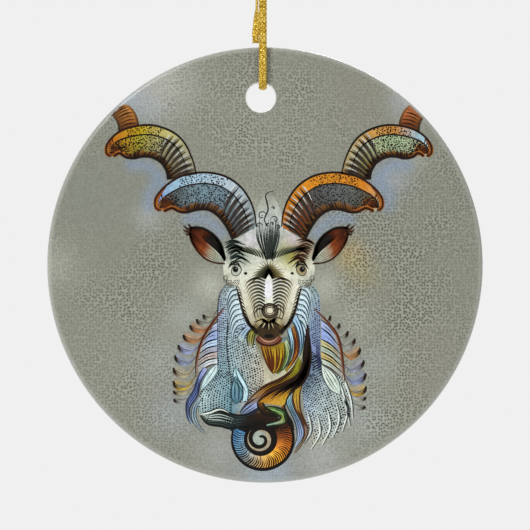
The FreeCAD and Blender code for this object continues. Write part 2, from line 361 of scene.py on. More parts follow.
# %% [markdown]
# ## Drawing with ink shapes
#
# The picture is printed, so it is flat: every line and wash is a thin polygon that lies on the
# coat, in the order that a printer would lay the inks down. Four shapes are enough. A wash fills
# the space between two lines, a stroke is a ribbon that tapers like a pen line, a dot is a small
# round patch and a blot is a filled oval. The colour sits in a colour attribute, so one wash can
# drift from blue to cream the way watercolour does. Places are in millimetres from the tile's
# centre, right and up.

# %% Ink shapes
# One layer of ink, the animal's middle line right of the tile's centre, and the print's own edge.
LAYER = 0.008 * MM
AXIS = 0.65
PRINT_RADIUS = 36.1


def smooth(points, count=40):
    """A smooth line through given points."""
    points = np.array(points, float)
    padded = np.vstack([2 * points[0] - points[1], points, 2 * points[-1] - points[-2]])
    shares = np.linspace(0, len(points) - 1, count)
    spans = np.minimum(shares.astype(int), len(points) - 2)
    part = (shares - spans)[:, None]
    before, first, last, after = (padded[spans + offset] for offset in range(4))
    return 0.5 * (
        2 * first
        + (last - before) * part
        + (2 * before - 5 * first + 4 * last - after) * part**2
        + (3 * first - before - 3 * last + after) * part**3
    )


def mirrored(points):
    """The same points on the other side of the animal's middle line."""
    return [(2 * AXIS - u, v) for u, v in points]


def sided(points, side):
    """Points given for the left side, moved to the right one if side is 1."""
    return mirrored(points) if side > 0 else list(points)


def spot(u, v, side):
    """One point given for the left side, moved to the right one if side is 1."""
    return np.array(sided([(u, v)], side)[0])


def ramp(colours, shares):
    """Colours spread evenly from 0 to 1, read at the given shares."""
    table = np.array([linear(colour) for colour in colours])
    places = np.linspace(0, 1, len(colours)) if len(colours) > 1 else np.array([0.0])
    return np.stack([np.interp(shares, places, table[:, band]) for band in range(3)], axis=-1)


def soft_spot(u, v, place_u, place_v, radius):
    """How near points are to a place: 1 there, fading to 0 beyond the radius."""
    return np.exp(-((u - place_u) ** 2 + (v - place_v) ** 2) / radius**2)


def stained(colours, u, v, stains):
    """Mixes soft round stains into colours; each stain is (u, v, radius, colour, strength)."""
    for place_u, place_v, radius, colour, strength in stains:
        share = (strength * soft_spot(u, v, place_u, place_v, radius))[..., None]
        colours = colours * (1 - share) + linear(colour) * share
    return colours


def around(centre, angles, reach_u, reach_v=None):
    """Points about a centre at the given angles, on a circle or an oval."""
    reach_v = reach_u if reach_v is None else reach_v
    return np.asarray(centre) + np.stack([reach_u * np.cos(angles), reach_v * np.sin(angles)], axis=1)


def store_ink(piece, tones, alphas):
    """Stores a colour and an alpha for each point of a piece, in the attribute that inks read."""
    ink = piece.data.color_attributes.new("ink", "FLOAT_COLOR", "POINT")
    ink.data.foreach_set("color", np.hstack([tones, alphas]).astype(np.float32).ravel())


class Ink:
    """Ink shapes that end up in one piece."""

    def __init__(self):
        self.places, self.colours, self.faces, self.lifts = [], [], [], []
        self.count = 0

    def add(self, places, colours, faces, layer):
        """Adds a shape, and turns its faces towards the viewer."""
        places = np.asarray(places, float)
        corners = places[np.array(faces)]
        after = np.roll(corners, -1, axis=1)
        areas = (corners[..., 0] * after[..., 1] - after[..., 0] * corners[..., 1]).sum(axis=1)
        faces = [face if area > 0 else face[::-1] for face, area in zip(faces, areas)]
        self.places.append(places)
        self.colours.append(np.broadcast_to(colours, (len(self.places[-1]), 3)))
        self.lifts.append(np.full(len(self.places[-1]), layer))
        self.faces.extend([tuple(int(self.count + corner) for corner in face) for face in faces])
        self.count += len(self.places[-1])

    def wash(self, edge_a, edge_b, colours_a, colours_b=None, layer=2, across=8, stains=()):
        """Fills the space between two lines that have the same number of points."""
        edge_a, edge_b = np.asarray(edge_a), np.asarray(edge_b)
        rows = len(edge_a)
        along = np.repeat(np.linspace(0, 1, rows), across + 1)
        over = np.tile(np.linspace(0, 1, across + 1), rows)
        from_a, from_b = np.repeat(edge_a, across + 1, 0), np.repeat(edge_b, across + 1, 0)
        places = from_a * (1 - over[:, None]) + from_b * over[:, None]
        tone_a, tone_b = ramp(colours_a, along), ramp(colours_b or colours_a, along)
        colours = tone_a * (1 - over[:, None]) + tone_b * over[:, None]
        colours = stained(colours, places[:, 0], places[:, 1], stains)
        self.add(places, colours, grid_faces(rows, across + 1), layer)

    def stroke(self, line, width, colour, start=0.1, end=0.1, layer=4):
        """A pen line whose width swells between its two ends."""
        line = np.asarray(line, float)
        shares = np.linspace(0, 1, len(line))
        swell = np.where(
            shares < 0.4, start + (1 - start) * np.sin(shares / 0.4 * math.pi / 2),
            end + (1 - end) * np.cos((shares - 0.4) / 0.6 * math.pi / 2),
        )
        heading = np.gradient(line, axis=0)
        heading /= np.linalg.norm(heading, axis=1, keepdims=True) + 1e-9
        aside = np.stack([-heading[:, 1], heading[:, 0]], axis=1) * (swell * width / 2)[:, None]
        places = np.concatenate([line + aside, line - aside])
        tones = colour if isinstance(colour, (list, tuple)) else [colour]
        colours = ramp(tones, np.tile(shares, 2)) * rng.uniform(0.85, 1.15)
        self.add(places, colours, grid_faces(2, len(line)), layer)

    def dots(self, centres, radii, colour, layer=5, corners=7):
        """Small round patches."""
        angles = np.linspace(0, 2 * math.pi, corners, endpoint=False)
        ring = around((0, 0), angles, 1.0)
        for centre, radius in zip(np.asarray(centres), np.broadcast_to(radii, len(centres))):
            self.add(centre + ring * radius, linear(colour), [tuple(range(corners))], layer)

    def blot(self, centre, size_u, size_v, colour, layer=3, corners=28, turn=0.0):
        """A filled oval."""
        angles = np.linspace(0, 2 * math.pi, corners, endpoint=False)
        oval = around((0, 0), angles, size_u, size_v)
        spin = np.array([[math.cos(turn), math.sin(turn)], [-math.sin(turn), math.cos(turn)]])
        self.add(np.array(centre) + oval @ spin, linear(colour), [tuple(range(corners))], layer)

    def piece(self, name, material):
        """Lays the shapes on the tile's face, wrapped over its rim, as one piece."""
        places = np.concatenate(self.places)
        lifts = np.concatenate(self.lifts)
        places *= np.minimum(1, PRINT_RADIUS / np.hypot(*places.T))[:, None]
        reach = np.hypot(places[:, 0], places[:, 1]) * MM
        over = np.clip(reach - (DISC_RADIUS - RIM_ROUND), 0, RIM_ROUND)
        drop = RIM_ROUND - np.sqrt(RIM_ROUND**2 - over**2)
        across_m, up_m = DISC_SIDE + places[:, 0] * MM, DISC_HEIGHT + places[:, 1] * MM
        points = np.stack([across_m, FRONT_FACE + drop - lifts * LAYER, up_m], axis=1)
        made = mesh_piece(name, points, self.faces, material)
        store_ink(made, np.concatenate(self.colours), np.ones((len(points), 1)))
        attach(made, "ornament")
        print(f"{name}: {len(self.faces)} faces")


# %% [markdown]
# ## The picture's inks
#
# The picture is printed with dyes that soak into the coat, so its gloss is the coat's own: smooth,
# with an IOR of 1.5 and a roughness near 0.3. Colour comes from the attribute. Washes are mottled
# by two noises, a 1.1 mm one for pooled pigment and a 0.22 mm one for grain, which is drawn
# coarser than the real grain of about 0.1 mm so that it shows from the camera. Pen lines are
# almost even. The ground is a warm grey wash with thousands of tiny dark dots, each with a pale
# ring, whose strength comes and goes over the tile.

# %% Ink materials


def ink_material(name, mottle, grain):
    """A printed ink whose colour attribute is varied by a wide and a fine noise."""
    material, tree, shader = new_material(name, Roughness=0.32, IOR=1.5, Specular_IOR_Level=0.3)
    coordinates = add_node(tree, "ShaderNodeTexCoord")
    colour = add_node(tree, "ShaderNodeVertexColor", {"layer_name": "ink"})
    shares = {}
    layers = ((1.1, 4.0, 0.65, mottle), (0.22, 2.0, 0.5, grain))
    for number, (spacing, detail, roughness, swing) in enumerate(layers):
        noise = add_node(
            tree, "ShaderNodeTexNoise",
            values={"Scale": spread(spacing), "Detail": detail, "Roughness": roughness},
            links={"Vector": coordinates.outputs["Object"]},
        )
        share = add_node(
            tree, "ShaderNodeMapRange",
            values={"From Min": 0.3, "From Max": 0.7, "To Min": 1 - swing, "To Max": 1 + swing},
            links={"Value": noise.outputs["Fac"]},
        )
        shares[number] = share.outputs["Result"]
    both = add_node(tree, "ShaderNodeMath", {"operation": "MULTIPLY"}, links=shares)
    varied = add_node(
        tree, "ShaderNodeVectorMath", {"operation": "SCALE"},
        links={0: colour.outputs["Color"], "Scale": both.outputs["Value"]},
    )
    tree.links.new(varied.outputs["Vector"], shader.inputs["Base Color"])
    return material


wash_ink = ink_material("printed_watercolour_wash", mottle=0.22, grain=0.16)
line_ink = ink_material("printed_pen_line", mottle=0.12, grain=0.1)

# %% Stains and dotted patches of the ground
# Each stain is right, up, radius, colour and strength, and a patch is the same with no colour.
GROUND = "#8B8D80"
ground_stains = [
    (0.0, 24.0, 14.0, "#98998C", 0.7), (22.0, -18.0, 16.0, "#959486", 0.5),
    (-24.0, -16.0, 13.0, "#99998D", 0.5), (22.0, 29.0, 9.0, "#918F7E", 0.5),
    (-29.0, 12.0, 8.0, "#888B80", 0.7), (14.5, 1.5, 2.6, "#B39C61", 0.75),
    (16.5, -1.5, 3.0, "#A1996C", 0.5), (25.5, 31.0, 2.4, "#A4967A", 0.6),
    (-22.5, 28.5, 3.6, "#A2ADBD", 0.85), (-19.0, 27.0, 2.6, "#A7B2BE", 0.6),
    (23.5, 27.5, 3.0, "#AAAFB1", 0.7), (-19.5, 8.0, 2.4, "#AAB0AC", 0.6),
    (21.5, 14.5, 2.8, "#A4ACB3", 0.65), (25.0, 18.5, 2.6, "#A8ACA2", 0.55),
    (-2.5, 9.5, 2.6, "#A6A899", 0.7), (4.0, 9.5, 2.4, "#A6A899", 0.7),
    (-9.2, -3.6, 2.8, "#B6BAAB", 0.85), (10.2, -3.6, 2.8, "#B2B5A6", 0.8),
    (-13.5, -8.5, 3.2, "#A7ABA2", 0.7), (15.0, -9.0, 3.2, "#A6A89C", 0.7),
    (-17.5, -16.0, 3.8, "#A0A59E", 0.8), (18.5, -16.5, 3.8, "#9EA39A", 0.8),
    (-15.5, -25.0, 4.0, "#9DA3A2", 0.85), (16.5, -26.0, 4.2, "#A2A8A2", 0.85),
    (-8.0, -31.0, 4.0, "#A3A6A0", 0.8), (9.5, -32.0, 4.0, "#ACB0AB", 0.85),
    (1.0, -34.6, 3.2, "#A2ACB6", 0.85), (-17.0, 30.5, 5.5, "#B4B5AC", 0.9),
    (-35.5, 0.0, 4.0, "#A4A598", 0.9), (0.0, -35.5, 4.5, "#9CA8B0", 0.8),
]
COIL_SHADOWS = [
    (-7.4, 5.4), (-8.6, 6.6), (-9.9, 7.6), (-11.4, 8.0), (-12.9, 7.6), (-17.2, 13.6), (-17.9, 15.0),
    (-19.2, 16.2), (-20.8, 16.8), (-22.4, 16.8), (-18.6, 13.2), (-19.5, 11.6), (-19.4, 9.8),
]
for side in (-1, 1):
    ground_stains += [(u, v, 1.1, "#869AB4", 0.6) for u, v in sided(COIL_SHADOWS, side)]
stipple_patches = [
    (19.0, 3.0, 12.0, 0.75), (23.0, -10.0, 9.0, 0.5), (0.0, 20.0, 7.5, 0.75), (-14.0, 30.0, 9.0, 0.5),
    (9.0, 27.0, 6.0, 0.5), (-16.0, 2.0, 6.0, 0.5), (-24.0, -8.0, 9.0, 0.6), (-22.0, -22.0, 8.0, 0.5),
    (31.0, 14.0, 6.0, 0.4), (20.0, -25.0, 8.0, 0.6), (-30.0, 20.0, 5.0, 0.2), (0.0, 31.0, 7.0, 0.3),
]
bare_patches = [
    (0.6, -12.0, 11.0, 0.9), (-27.0, 11.0, 7.0, 0.8), (0.6, 3.0, 8.0, 0.8), (-20.0, 14.0, 6.0, 0.5),
    (22.0, 17.0, 4.0, 0.4), (24.0, 30.0, 6.0, 0.5), (0.6, -26.0, 9.0, 0.8),
]
print(f"ground: {len(ground_stains)} soft stains, {len(stipple_patches)} dotted patches")

# %% Colours of the ground, stored on the coat
places = np.array([vertex.co[:] for vertex in front_skin.data.vertices])
across_mm, up_mm = (places[:, 0] - DISC_SIDE) / MM, (places[:, 2] - DISC_HEIGHT) / MM
tones = np.broadcast_to(linear(GROUND), (len(places), 3))
tones = stained(tones, across_mm, up_mm, ground_stains)
dotted = np.full(len(places), 0.3)
for u, v, radius, strength in stipple_patches:
    dotted += strength * soft_spot(across_mm, up_mm, u, v, radius)
for u, v, radius, strength in bare_patches:
    dotted *= 1 - strength * soft_spot(across_mm, up_mm, u, v, radius)
RIM_START = 35.5
rim_share = np.clip(np.hypot(across_mm, up_mm) - RIM_START, 0, 1)[:, None] ** 1.5
tones = tones * (1 - 0.6 * rim_share) + linear("#D2D3CC") * 0.6 * rim_share
store_ink(front_skin, tones, np.clip(dotted, 0, 1)[:, None] * (1 - rim_share))
print(f"dots are strongest at {dotted.max():.2f} and weakest at {dotted.min():.2f}")

# %% Printed ground
# A dye print under gloss: flat grey with dots 0.52 mm apart, each in a paler ring. Real dots are
# about 0.3 mm apart and the paper's grain is finer still, so both are drawn coarser, to show as such.
# The alpha of the stored colour says how strongly the dots show. A mix node for colours keeps
# its share in input 0, its colours in inputs 6 and 7, and its result in output 2.
ground, tree, shader = new_material("printed_grey_ground", Roughness=0.3, IOR=1.5, Specular_IOR_Level=0.3)
coordinates = add_node(tree, "ShaderNodeTexCoord")
place = add_node(tree, "ShaderNodeSeparateXYZ", links={0: coordinates.outputs["Object"]})
flat = add_node(tree, "ShaderNodeCombineXYZ", links={"X": place.outputs["X"], "Y": place.outputs["Z"]})
colour = add_node(tree, "ShaderNodeVertexColor", {"layer_name": "ink"})
cells = add_node(
    tree, "ShaderNodeTexVoronoi", {"voronoi_dimensions": "2D"},
    values={"Scale": spread(0.52), "Randomness": 0.7}, links={"Vector": flat.outputs["Vector"]},
)
clouds = add_node(
    tree, "ShaderNodeTexNoise", values={"Scale": spread(5.0), "Detail": 3.0},
    links={"Vector": coordinates.outputs["Object"]},
)
fibres = add_node(
    tree, "ShaderNodeTexNoise", values={"Scale": spread(0.35), "Detail": 3.0, "Roughness": 0.7},
    links={"Vector": coordinates.outputs["Object"]},
)
shares = {}
for name, source, low, high, first, last in (
    ("dot", cells.outputs["Distance"], 0.14, 0.34, 1.0, 0.0),
    ("ring", cells.outputs["Distance"], 0.36, 0.66, 0.0, 0.5),
    ("cloud", clouds.outputs["Fac"], 0.35, 0.65, 0.35, 1.0),
    ("grain", fibres.outputs["Fac"], 0.3, 0.7, 0.84, 1.16),
):
    limits = {"From Min": low, "From Max": high, "To Min": first, "To Max": last}
    mapped = add_node(tree, "ShaderNodeMapRange", values=limits, links={"Value": source})
    shares[name] = mapped.outputs["Result"]
# The stored alpha scales the clouds, and the clouds then scale the rings and the dots.
strength = colour.outputs["Alpha"]
for name in ("cloud", "ring", "dot"):
    factors = {0: shares[name], 1: strength}
    product = add_node(tree, "ShaderNodeMath", {"operation": "MULTIPLY"}, links=factors)
    shares[name] = product.outputs["Value"]
    strength = shares["cloud"]
grained = add_node(
    tree, "ShaderNodeVectorMath", {"operation": "SCALE"},
    links={0: colour.outputs["Color"], "Scale": shares["grain"]},
)
ringed = add_node(
    tree, "ShaderNodeMix", {"data_type": "RGBA"}, values={7: rgba("#B4B6A8")},
    links={0: shares["ring"], 6: grained.outputs["Vector"]},
)
dotted_colour = add_node(
    tree, "ShaderNodeMix", {"data_type": "RGBA"}, values={7: rgba("#3A3C32")},
    links={0: shares["dot"], 6: ringed.outputs[2]},
)
tree.links.new(dotted_colour.outputs[2], shader.inputs["Base Color"])
front_skin.data.materials.append(ground)
print("material:", ground.name)

# %% [markdown]
# ## The horns
#
# Each horn winds outwards in two coils, and a third runs off the tile's edge. A coil is drawn from
# two lines, its outer and its inner edge. Between them lies a smooth rim band, then a ribbed band
# whose ribs turn into fine dots over the crown, and a dark band of shade along the inner edge. The
# animal is nearly symmetric, so the lines are given once and mirrored, and only the inks differ.

# %% Horn coils
INK_DARK = "#17120C"
INK_BROWN = "#3A1F0C"


def between(edge_a, edge_b, along, over):
    """A point between two edges: along runs from root to tip, over from the first edge to the second."""
    shares = np.linspace(0, 1, len(edge_a))
    along, over = np.broadcast_arrays(np.asarray(along, float), np.asarray(over, float))
    points = []
    for axis in range(2):
        near = np.interp(along, shares, edge_a[:, axis])
        far = np.interp(along, shares, edge_b[:, axis])
        points.append(near * (1 - over) + far * over)
    return np.stack(points, axis=-1)


def horn_coil(washes, lines, outer, inner, rim_inks, body_inks, dot_stretch, rim=0.3):
    """One coil: rim band, body, shaded inner edge, ribs, crown dots, amber tip and outlines."""
    first_dot, last_dot = dot_stretch
    outer, inner = smooth(outer, 90), smooth(inner, 90)
    whole = np.linspace(0, 1, 90)
    parting, shade = between(outer, inner, whole, rim), between(outer, inner, whole, 0.72)
    washes.wash(outer, parting, rim_inks, layer=2.0)
    washes.wash(parting, shade, body_inks, layer=2.02)
    washes.wash(shade, inner, body_inks, ["#1C1008", "#24140A", "#3A1E0C", "#24140A"], layer=2.04)
    for along in np.linspace(0.03, 0.3, 7):
        over = np.linspace(rng.uniform(0.0, 0.12), 0.95, 14)
        bow = 0.02 * np.sin(over * math.pi) - 0.05 * over
        rib = between(outer, inner, along + bow, over)
        lines.stroke(rib, rng.uniform(0.25, 0.5), [INK_DARK, "#3E3830", INK_DARK], 0.3, 0.3)
        gleam = between(outer, inner, along + bow + 0.022, over)[:8]
        lines.stroke(gleam, 0.3, "#C4C8C4", 0.2, 0.1)
        for shift in (0.01, 0.018):
            hair = between(outer, inner, along + bow + shift, over)
            lines.stroke(hair, 0.12, INK_BROWN, start=0.2, end=0.1)
    for along in np.linspace(last_dot + 0.02, 0.93, 6):
        over = np.linspace(rim + 0.02, 0.95, 12)
        bow = 0.05 * np.sin((over - rim) / (1 - rim) * math.pi)
        lip = between(outer, inner, along - bow, over)
        lines.stroke(lip, rng.uniform(0.25, 0.45), ["#2A1408", "#5A2C0E", "#2A1408"], 0.7, 0.5, layer=4.1)
        lines.stroke(lip + (-0.2, 0.1), 0.16, ["#C98A34", "#A8641C"], 0.3, 0.3, layer=4.05)
    for along in np.arange(0.01, 0.99, 0.011):
        over = np.linspace(rng.uniform(0.74, 0.86), 1.0, 6)
        hatch = between(outer, inner, along + 0.03 * (over - 0.8), over)
        tone = ["#8A5A22", "#1C1008"] if rng.random() < 0.4 else ["#3A2210", "#120A04"]
        lines.stroke(hatch, rng.uniform(0.12, 0.26), tone, start=0.2, end=0.9)
    for row, over in enumerate(np.arange(0.07, 0.8, 0.058)):
        begin = first_dot + (0.08 if over < rim else 0.0)
        end = last_dot - (0.12 if over < rim else 0.0)
        steps = np.arange(begin, end, 0.0165) + (row % 2) * 0.008
        steps = steps + rng.normal(0, 0.0035, len(steps))
        centres = between(outer, inner, steps, over + rng.normal(0, 0.012, len(steps)))
        lines.dots(centres, rng.uniform(0.07, 0.16, len(steps)), INK_DARK)
    for along in np.linspace(last_dot, 0.97, 9):
        over = np.linspace(0.03, rim * 0.95, 7)
        tick = between(outer, inner, along + 0.03 * over / rim, over)
        lines.stroke(tick, rng.uniform(0.15, 0.4), ["#5A2A0C", "#2A1408"], start=0.8, end=0.1)
    for edge, start, stop, over in ((outer, 0.72, 1.0, 0.05), (inner, 0.6, 1.0, 0.95)):
        band = between(outer, inner, np.linspace(start, stop, 40), over)
        lines.stroke(band, 0.8, ["#6A3410", "#A8621C", "#8A4A14"], start=0.1, end=0.7, layer=4.2)
    lines.stroke(outer, 0.36, ["#2A1A10", "#17120C", "#2A1206", "#3A1A08"], 0.6, 0.9, layer=4.4)
    lines.stroke(parting, 0.26, ["#3A3A38", "#17120C", "#2A1206"], start=0.1, end=0.9)
    lines.stroke(inner, 0.5, ["#17120C", "#2A1206"], start=0.9, end=0.7, layer=4.4)


LOWER_OUTER = [
    (-1.5, 6.4), (-1.7, 8.4), (-2.5, 10.8), (-4.2, 13.2), (-6.8, 14.9), (-10.0, 15.5),
    (-13.4, 15.1), (-16.2, 13.6), (-18.1, 11.6), (-18.4, 9.9), (-17.7, 9.1),
]
LOWER_INNER = [
    (-5.4, 4.3), (-6.0, 5.6), (-6.8, 7.0), (-8.0, 8.4), (-9.6, 9.3), (-11.4, 9.3),
    (-12.9, 8.9), (-14.2, 8.9), (-15.4, 9.5), (-16.1, 9.4), (-16.9, 9.0),
]
UPPER_OUTER = [
    (-11.5, 15.2), (-12.2, 17.8), (-13.6, 20.6), (-15.7, 22.4), (-18.8, 23.4),
    (-22.0, 23.2), (-24.6, 22.2), (-26.3, 20.5), (-26.6, 18.9), (-25.9, 18.2),
]
UPPER_INNER = [
    (-16.2, 14.3), (-16.5, 15.8), (-17.4, 17.2), (-19.0, 18.1), (-20.6, 18.2),
    (-22.0, 17.9), (-23.4, 18.1), (-24.2, 18.7), (-24.8, 18.6), (-25.3, 18.2),
]
STUB_OUTER = [(-21.2, 22.6), (-21.4, 24.2), (-22.0, 25.6), (-22.9, 26.6), (-23.9, 26.8)]
STUB_INNER = [(-24.4, 22.0), (-24.5, 23.4), (-24.9, 24.4), (-25.5, 25.1), (-25.9, 25.0)]

HORN_INKS = {
    -1: {
        "lower_rim": ["#6E7A7C", "#98A4A8", "#B4C4CC", "#A9C4D4", "#98BCD0", "#7C94D0", "#A87A42"],
        "lower_body": ["#3A4044", "#5A666C", "#6E828C", "#76909A", "#5E6A6C", "#6A3814", "#B87A40"],
        "upper_rim": ["#7A7660", "#A8A480", "#BEB876", "#B89E14", "#C47E18", "#BC6414", "#984E14"],
        "upper_body": ["#4A3C28", "#8A8468", "#A09C72", "#A89E30", "#B8860E", "#B86C10", "#A85C18"],
        "stub": ["#5A3312", "#A86A2C", "#C98A44", "#7A4A22"],
    },
    1: {
        "lower_rim": ["#A85F18", "#C97A1C", "#D88A1E", "#D48A24", "#CF7F1C", "#C9A878", "#D6DAD4"],
        "lower_body": ["#6A3210", "#7A3E14", "#565250", "#626868", "#5E6058", "#7A5A1E", "#C4C0A0"],
        "upper_rim": ["#8A6A3A", "#B7A878", "#C99A52", "#C98A3A", "#9FC0CC", "#A9C4CC", "#B5A878"],
        "upper_body": ["#5A4426", "#8A8452", "#A9B48A", "#A3B890", "#B4BC98", "#BDB694", "#C9C0A0"],
        "stub": ["#4A2812", "#A85A2A", "#C9784A", "#6E3A1E"],
    },
}
for side in (-1, 1):
    inks = HORN_INKS[side]
    word = "left" if side < 0 else "right"
    washes, lines = Ink(), Ink()
    stub_outer, stub_inner = smooth(sided(STUB_OUTER, side)), smooth(sided(STUB_INNER, side))
    stub_shade = ["#3A1F0C", "#7A4A1C", "#5A3A22"]
    washes.wash(stub_outer, stub_inner, inks["stub"], stub_shade, layer=1.2, across=24)
    for along in np.linspace(0.05, 0.95, 9):
        over = np.linspace(0.05, 0.95, 10)
        rib = between(stub_outer, stub_inner, along + 0.06 * np.sin(over * math.pi), over)
        lines.stroke(rib, rng.uniform(0.15, 0.35), INK_BROWN, start=0.2, end=0.2, layer=1.5)
    for edge, tone in ((stub_outer, "#A8703A"), (stub_inner, "#6A4A30")):
        lines.stroke(edge, 0.4, [INK_DARK, tone], start=0.8, end=0.3, layer=1.6)
    horn_coil(
        washes, lines, sided(UPPER_OUTER, side), sided(UPPER_INNER, side),
        inks["upper_rim"], inks["upper_body"], (0.3, 0.72),
    )
    washes.piece(f"horn_tip_wash_{word}", wash_ink)
    lines.piece(f"horn_tip_lines_{word}", line_ink)
    washes, lines = Ink(), Ink()
    horn_coil(
        washes, lines, sided(LOWER_OUTER, side), sided(LOWER_INNER, side),
        inks["lower_rim"], inks["lower_body"], (0.3, 0.76),
    )
    washes.piece(f"horn_wash_{word}", wash_ink)
    lines.piece(f"horn_lines_{word}", line_ink)

# %% [markdown]
# ## Ears, head and muzzle
#
# The head is one pale wash with soft stains: grey-green over the left brow, olive over the right,
# cream round the muzzle. What makes it read as hair is the pen work. Short tapered strokes follow
# the way the coat grows: in a fountain from the middle of the brow, in nested arcs down both sides
# of the nose, and in level locks over the eyes.

# %% Ears
EAR_TOP = [(-12.7, 6.1), (-11.6, 6.3), (-10.2, 6.0), (-8.6, 5.0), (-7.4, 3.4), (-6.7, 1.0)]
EAR_LOW = [(-12.7, 5.4), (-12.3, 3.9), (-11.2, 2.2), (-9.9, 1.0), (-8.4, 0.4), (-6.7, 0.2)]
EAR_TUFTS = [
    [(-12.5, 5.9), (-13.1, 6.1), (-13.8, 6.8)], [(-12.4, 5.6), (-13.2, 5.6), (-13.7, 6.0)],
    [(-12.3, 5.3), (-13.0, 5.1), (-13.4, 5.3)], [(-12.1, 6.1), (-12.6, 6.5), (-13.0, 7.0)],
]
washes, lines = Ink(), Ink()
for side in (-1, 1):
    top, low = smooth(sided(EAR_TOP, side), 50), smooth(sided(EAR_LOW, side), 50)
    middle_line = between(top, low, np.linspace(0, 1, 50), 0.42)
    washes.wash(top, middle_line, ["#2A1206", "#3A1608", "#4A1E0A", "#2A1206"])
    washes.wash(middle_line, low, ["#5A220A", "#A8561A", "#8A4212", "#B9C0A8", "#C4DCD4"])
    for over in np.linspace(0.08, 0.95, 15):
        first, last = rng.uniform(0.02, 0.2), rng.uniform(0.45, 0.7)
        hair = between(top, low, np.linspace(first, last, 14), over)
        lines.stroke(hair, rng.uniform(0.14, 0.3), ["#2A0F04", "#7A3410"], start=0.6, end=0.1)
    for over in np.linspace(0.05, 0.4, 6):
        hair = between(top, low, np.linspace(0.4, 1.0, 14), over)
        lines.stroke(hair, 0.3, INK_DARK, start=0.2, end=0.8)
    for over in np.linspace(0.55, 0.9, 5):
        hair = between(top, low, np.linspace(0.6, 0.98, 12), over)
        lines.stroke(hair, 0.12, "#6E5A44", start=0.2, end=0.4)
    lines.stroke(top, 0.5, INK_DARK, start=0.7, end=0.9)
    lines.stroke(low, 0.32, INK_BROWN, start=0.7, end=0.8)
    for tuft in EAR_TUFTS:
        lines.stroke(smooth(sided(tuft, side), 10), 0.4, INK_BROWN, start=0.9, end=0.05)
washes.piece("ears_wash", wash_ink)
lines.piece("ears_lines", line_ink)

# %% Head and muzzle washes
HEAD_EDGE = [
    (-2.2, 6.0), (-4.2, 4.7), (-6.2, 4.1), (-6.9, 2.6), (-6.9, 0.8), (-7.0, -0.9),
    (-6.5, -2.6), (-4.8, -3.8), (-4.3, -5.4), (-3.7, -7.7), (-2.9, -9.8), (-0.9, -12.0),
]
head_stains = [
    (-5.2, 2.8, 2.4, "#5E726A", 0.75), (-4.2, 1.2, 2.0, "#8FA08A", 0.6),
    (4.6, 1.4, 2.2, "#A8A62A", 0.85), (3.4, 2.4, 1.6, "#7A7A30", 0.6), (6.6, 3.0, 2.2, "#6E4424", 0.85),
    (-2.4, 4.2, 1.6, "#D8D2DA", 0.8), (4.6, 4.6, 1.3, "#CFC4C8", 0.8), (0.6, 5.5, 1.8, "#B4C0BC", 0.7),
    (0.6, 2.2, 1.6, "#8E9C84", 0.7), (-6.0, -2.6, 1.4, "#B9BBA6", 0.7),
    (7.2, -2.6, 1.4, "#A9AF98", 0.7), (AXIS, -1.2, 1.3, "#6E6E3E", 0.5),
    (AXIS, -9.9, 2.0, "#6E5A38", 0.9), (AXIS, -11.5, 1.7, "#3A2414", 0.95),
]
washes, lines = Ink(), Ink()
head_left = smooth(HEAD_EDGE, 90)
head_right = smooth(mirrored(HEAD_EDGE), 90)
washes.wash(
    head_left, head_right, ["#B4BCB0", "#C9CDBB", "#E2E4D2", "#E6E6D4", "#D9D6BC", "#8A7A58"],
    across=60, stains=head_stains, layer=2.5,
)
washes.blot((AXIS, -3.4), 2.9, 3.9, "#E4E6D4", layer=2.8, corners=60)
washes.blot((AXIS - 0.1, -4.0), 0.72, 1.75, "#F1F1F4", layer=3.2)

# %% Hair strokes of the brow and the fountain
for side in (-1, 1):
    brow_ink = "#1F2A24" if side < 0 else "#3A1E0C"
    for row, height in enumerate(np.linspace(4.2, 0.7, 13)):
        start_u = -6.9 + 0.12 * row + rng.uniform(-0.2, 0.2)
        reach = rng.uniform(2.2, 3.6)
        hair = [
            (start_u, height - 0.5), (start_u + reach * 0.45, height + rng.uniform(-0.1, 0.25)),
            (start_u + reach, height - rng.uniform(0.0, 0.5) - 0.06 * row),
        ]
        lines.stroke(smooth(sided(hair, side), 16), rng.uniform(0.2, 0.42), brow_ink, 0.5, 0.05)
    for step, lean in enumerate(np.linspace(0.12, 1.25, 9)):
        reach = 3.0 + 0.35 * step
        start = np.array([AXIS - 0.5 - 0.42 * step, 0.9 + 0.16 * step])
        heading = np.array([-math.sin(lean), math.cos(lean)])
        sweep = np.array([-0.5, -0.3])
        hair = [start, start + heading * reach * 0.3 + sweep * 0.2, start + heading * reach * 0.6 + sweep]
        lines.stroke(smooth(sided(hair, side), 14), 0.3, ["#2A2E20", "#5A5E48"], 0.6, 0.05)

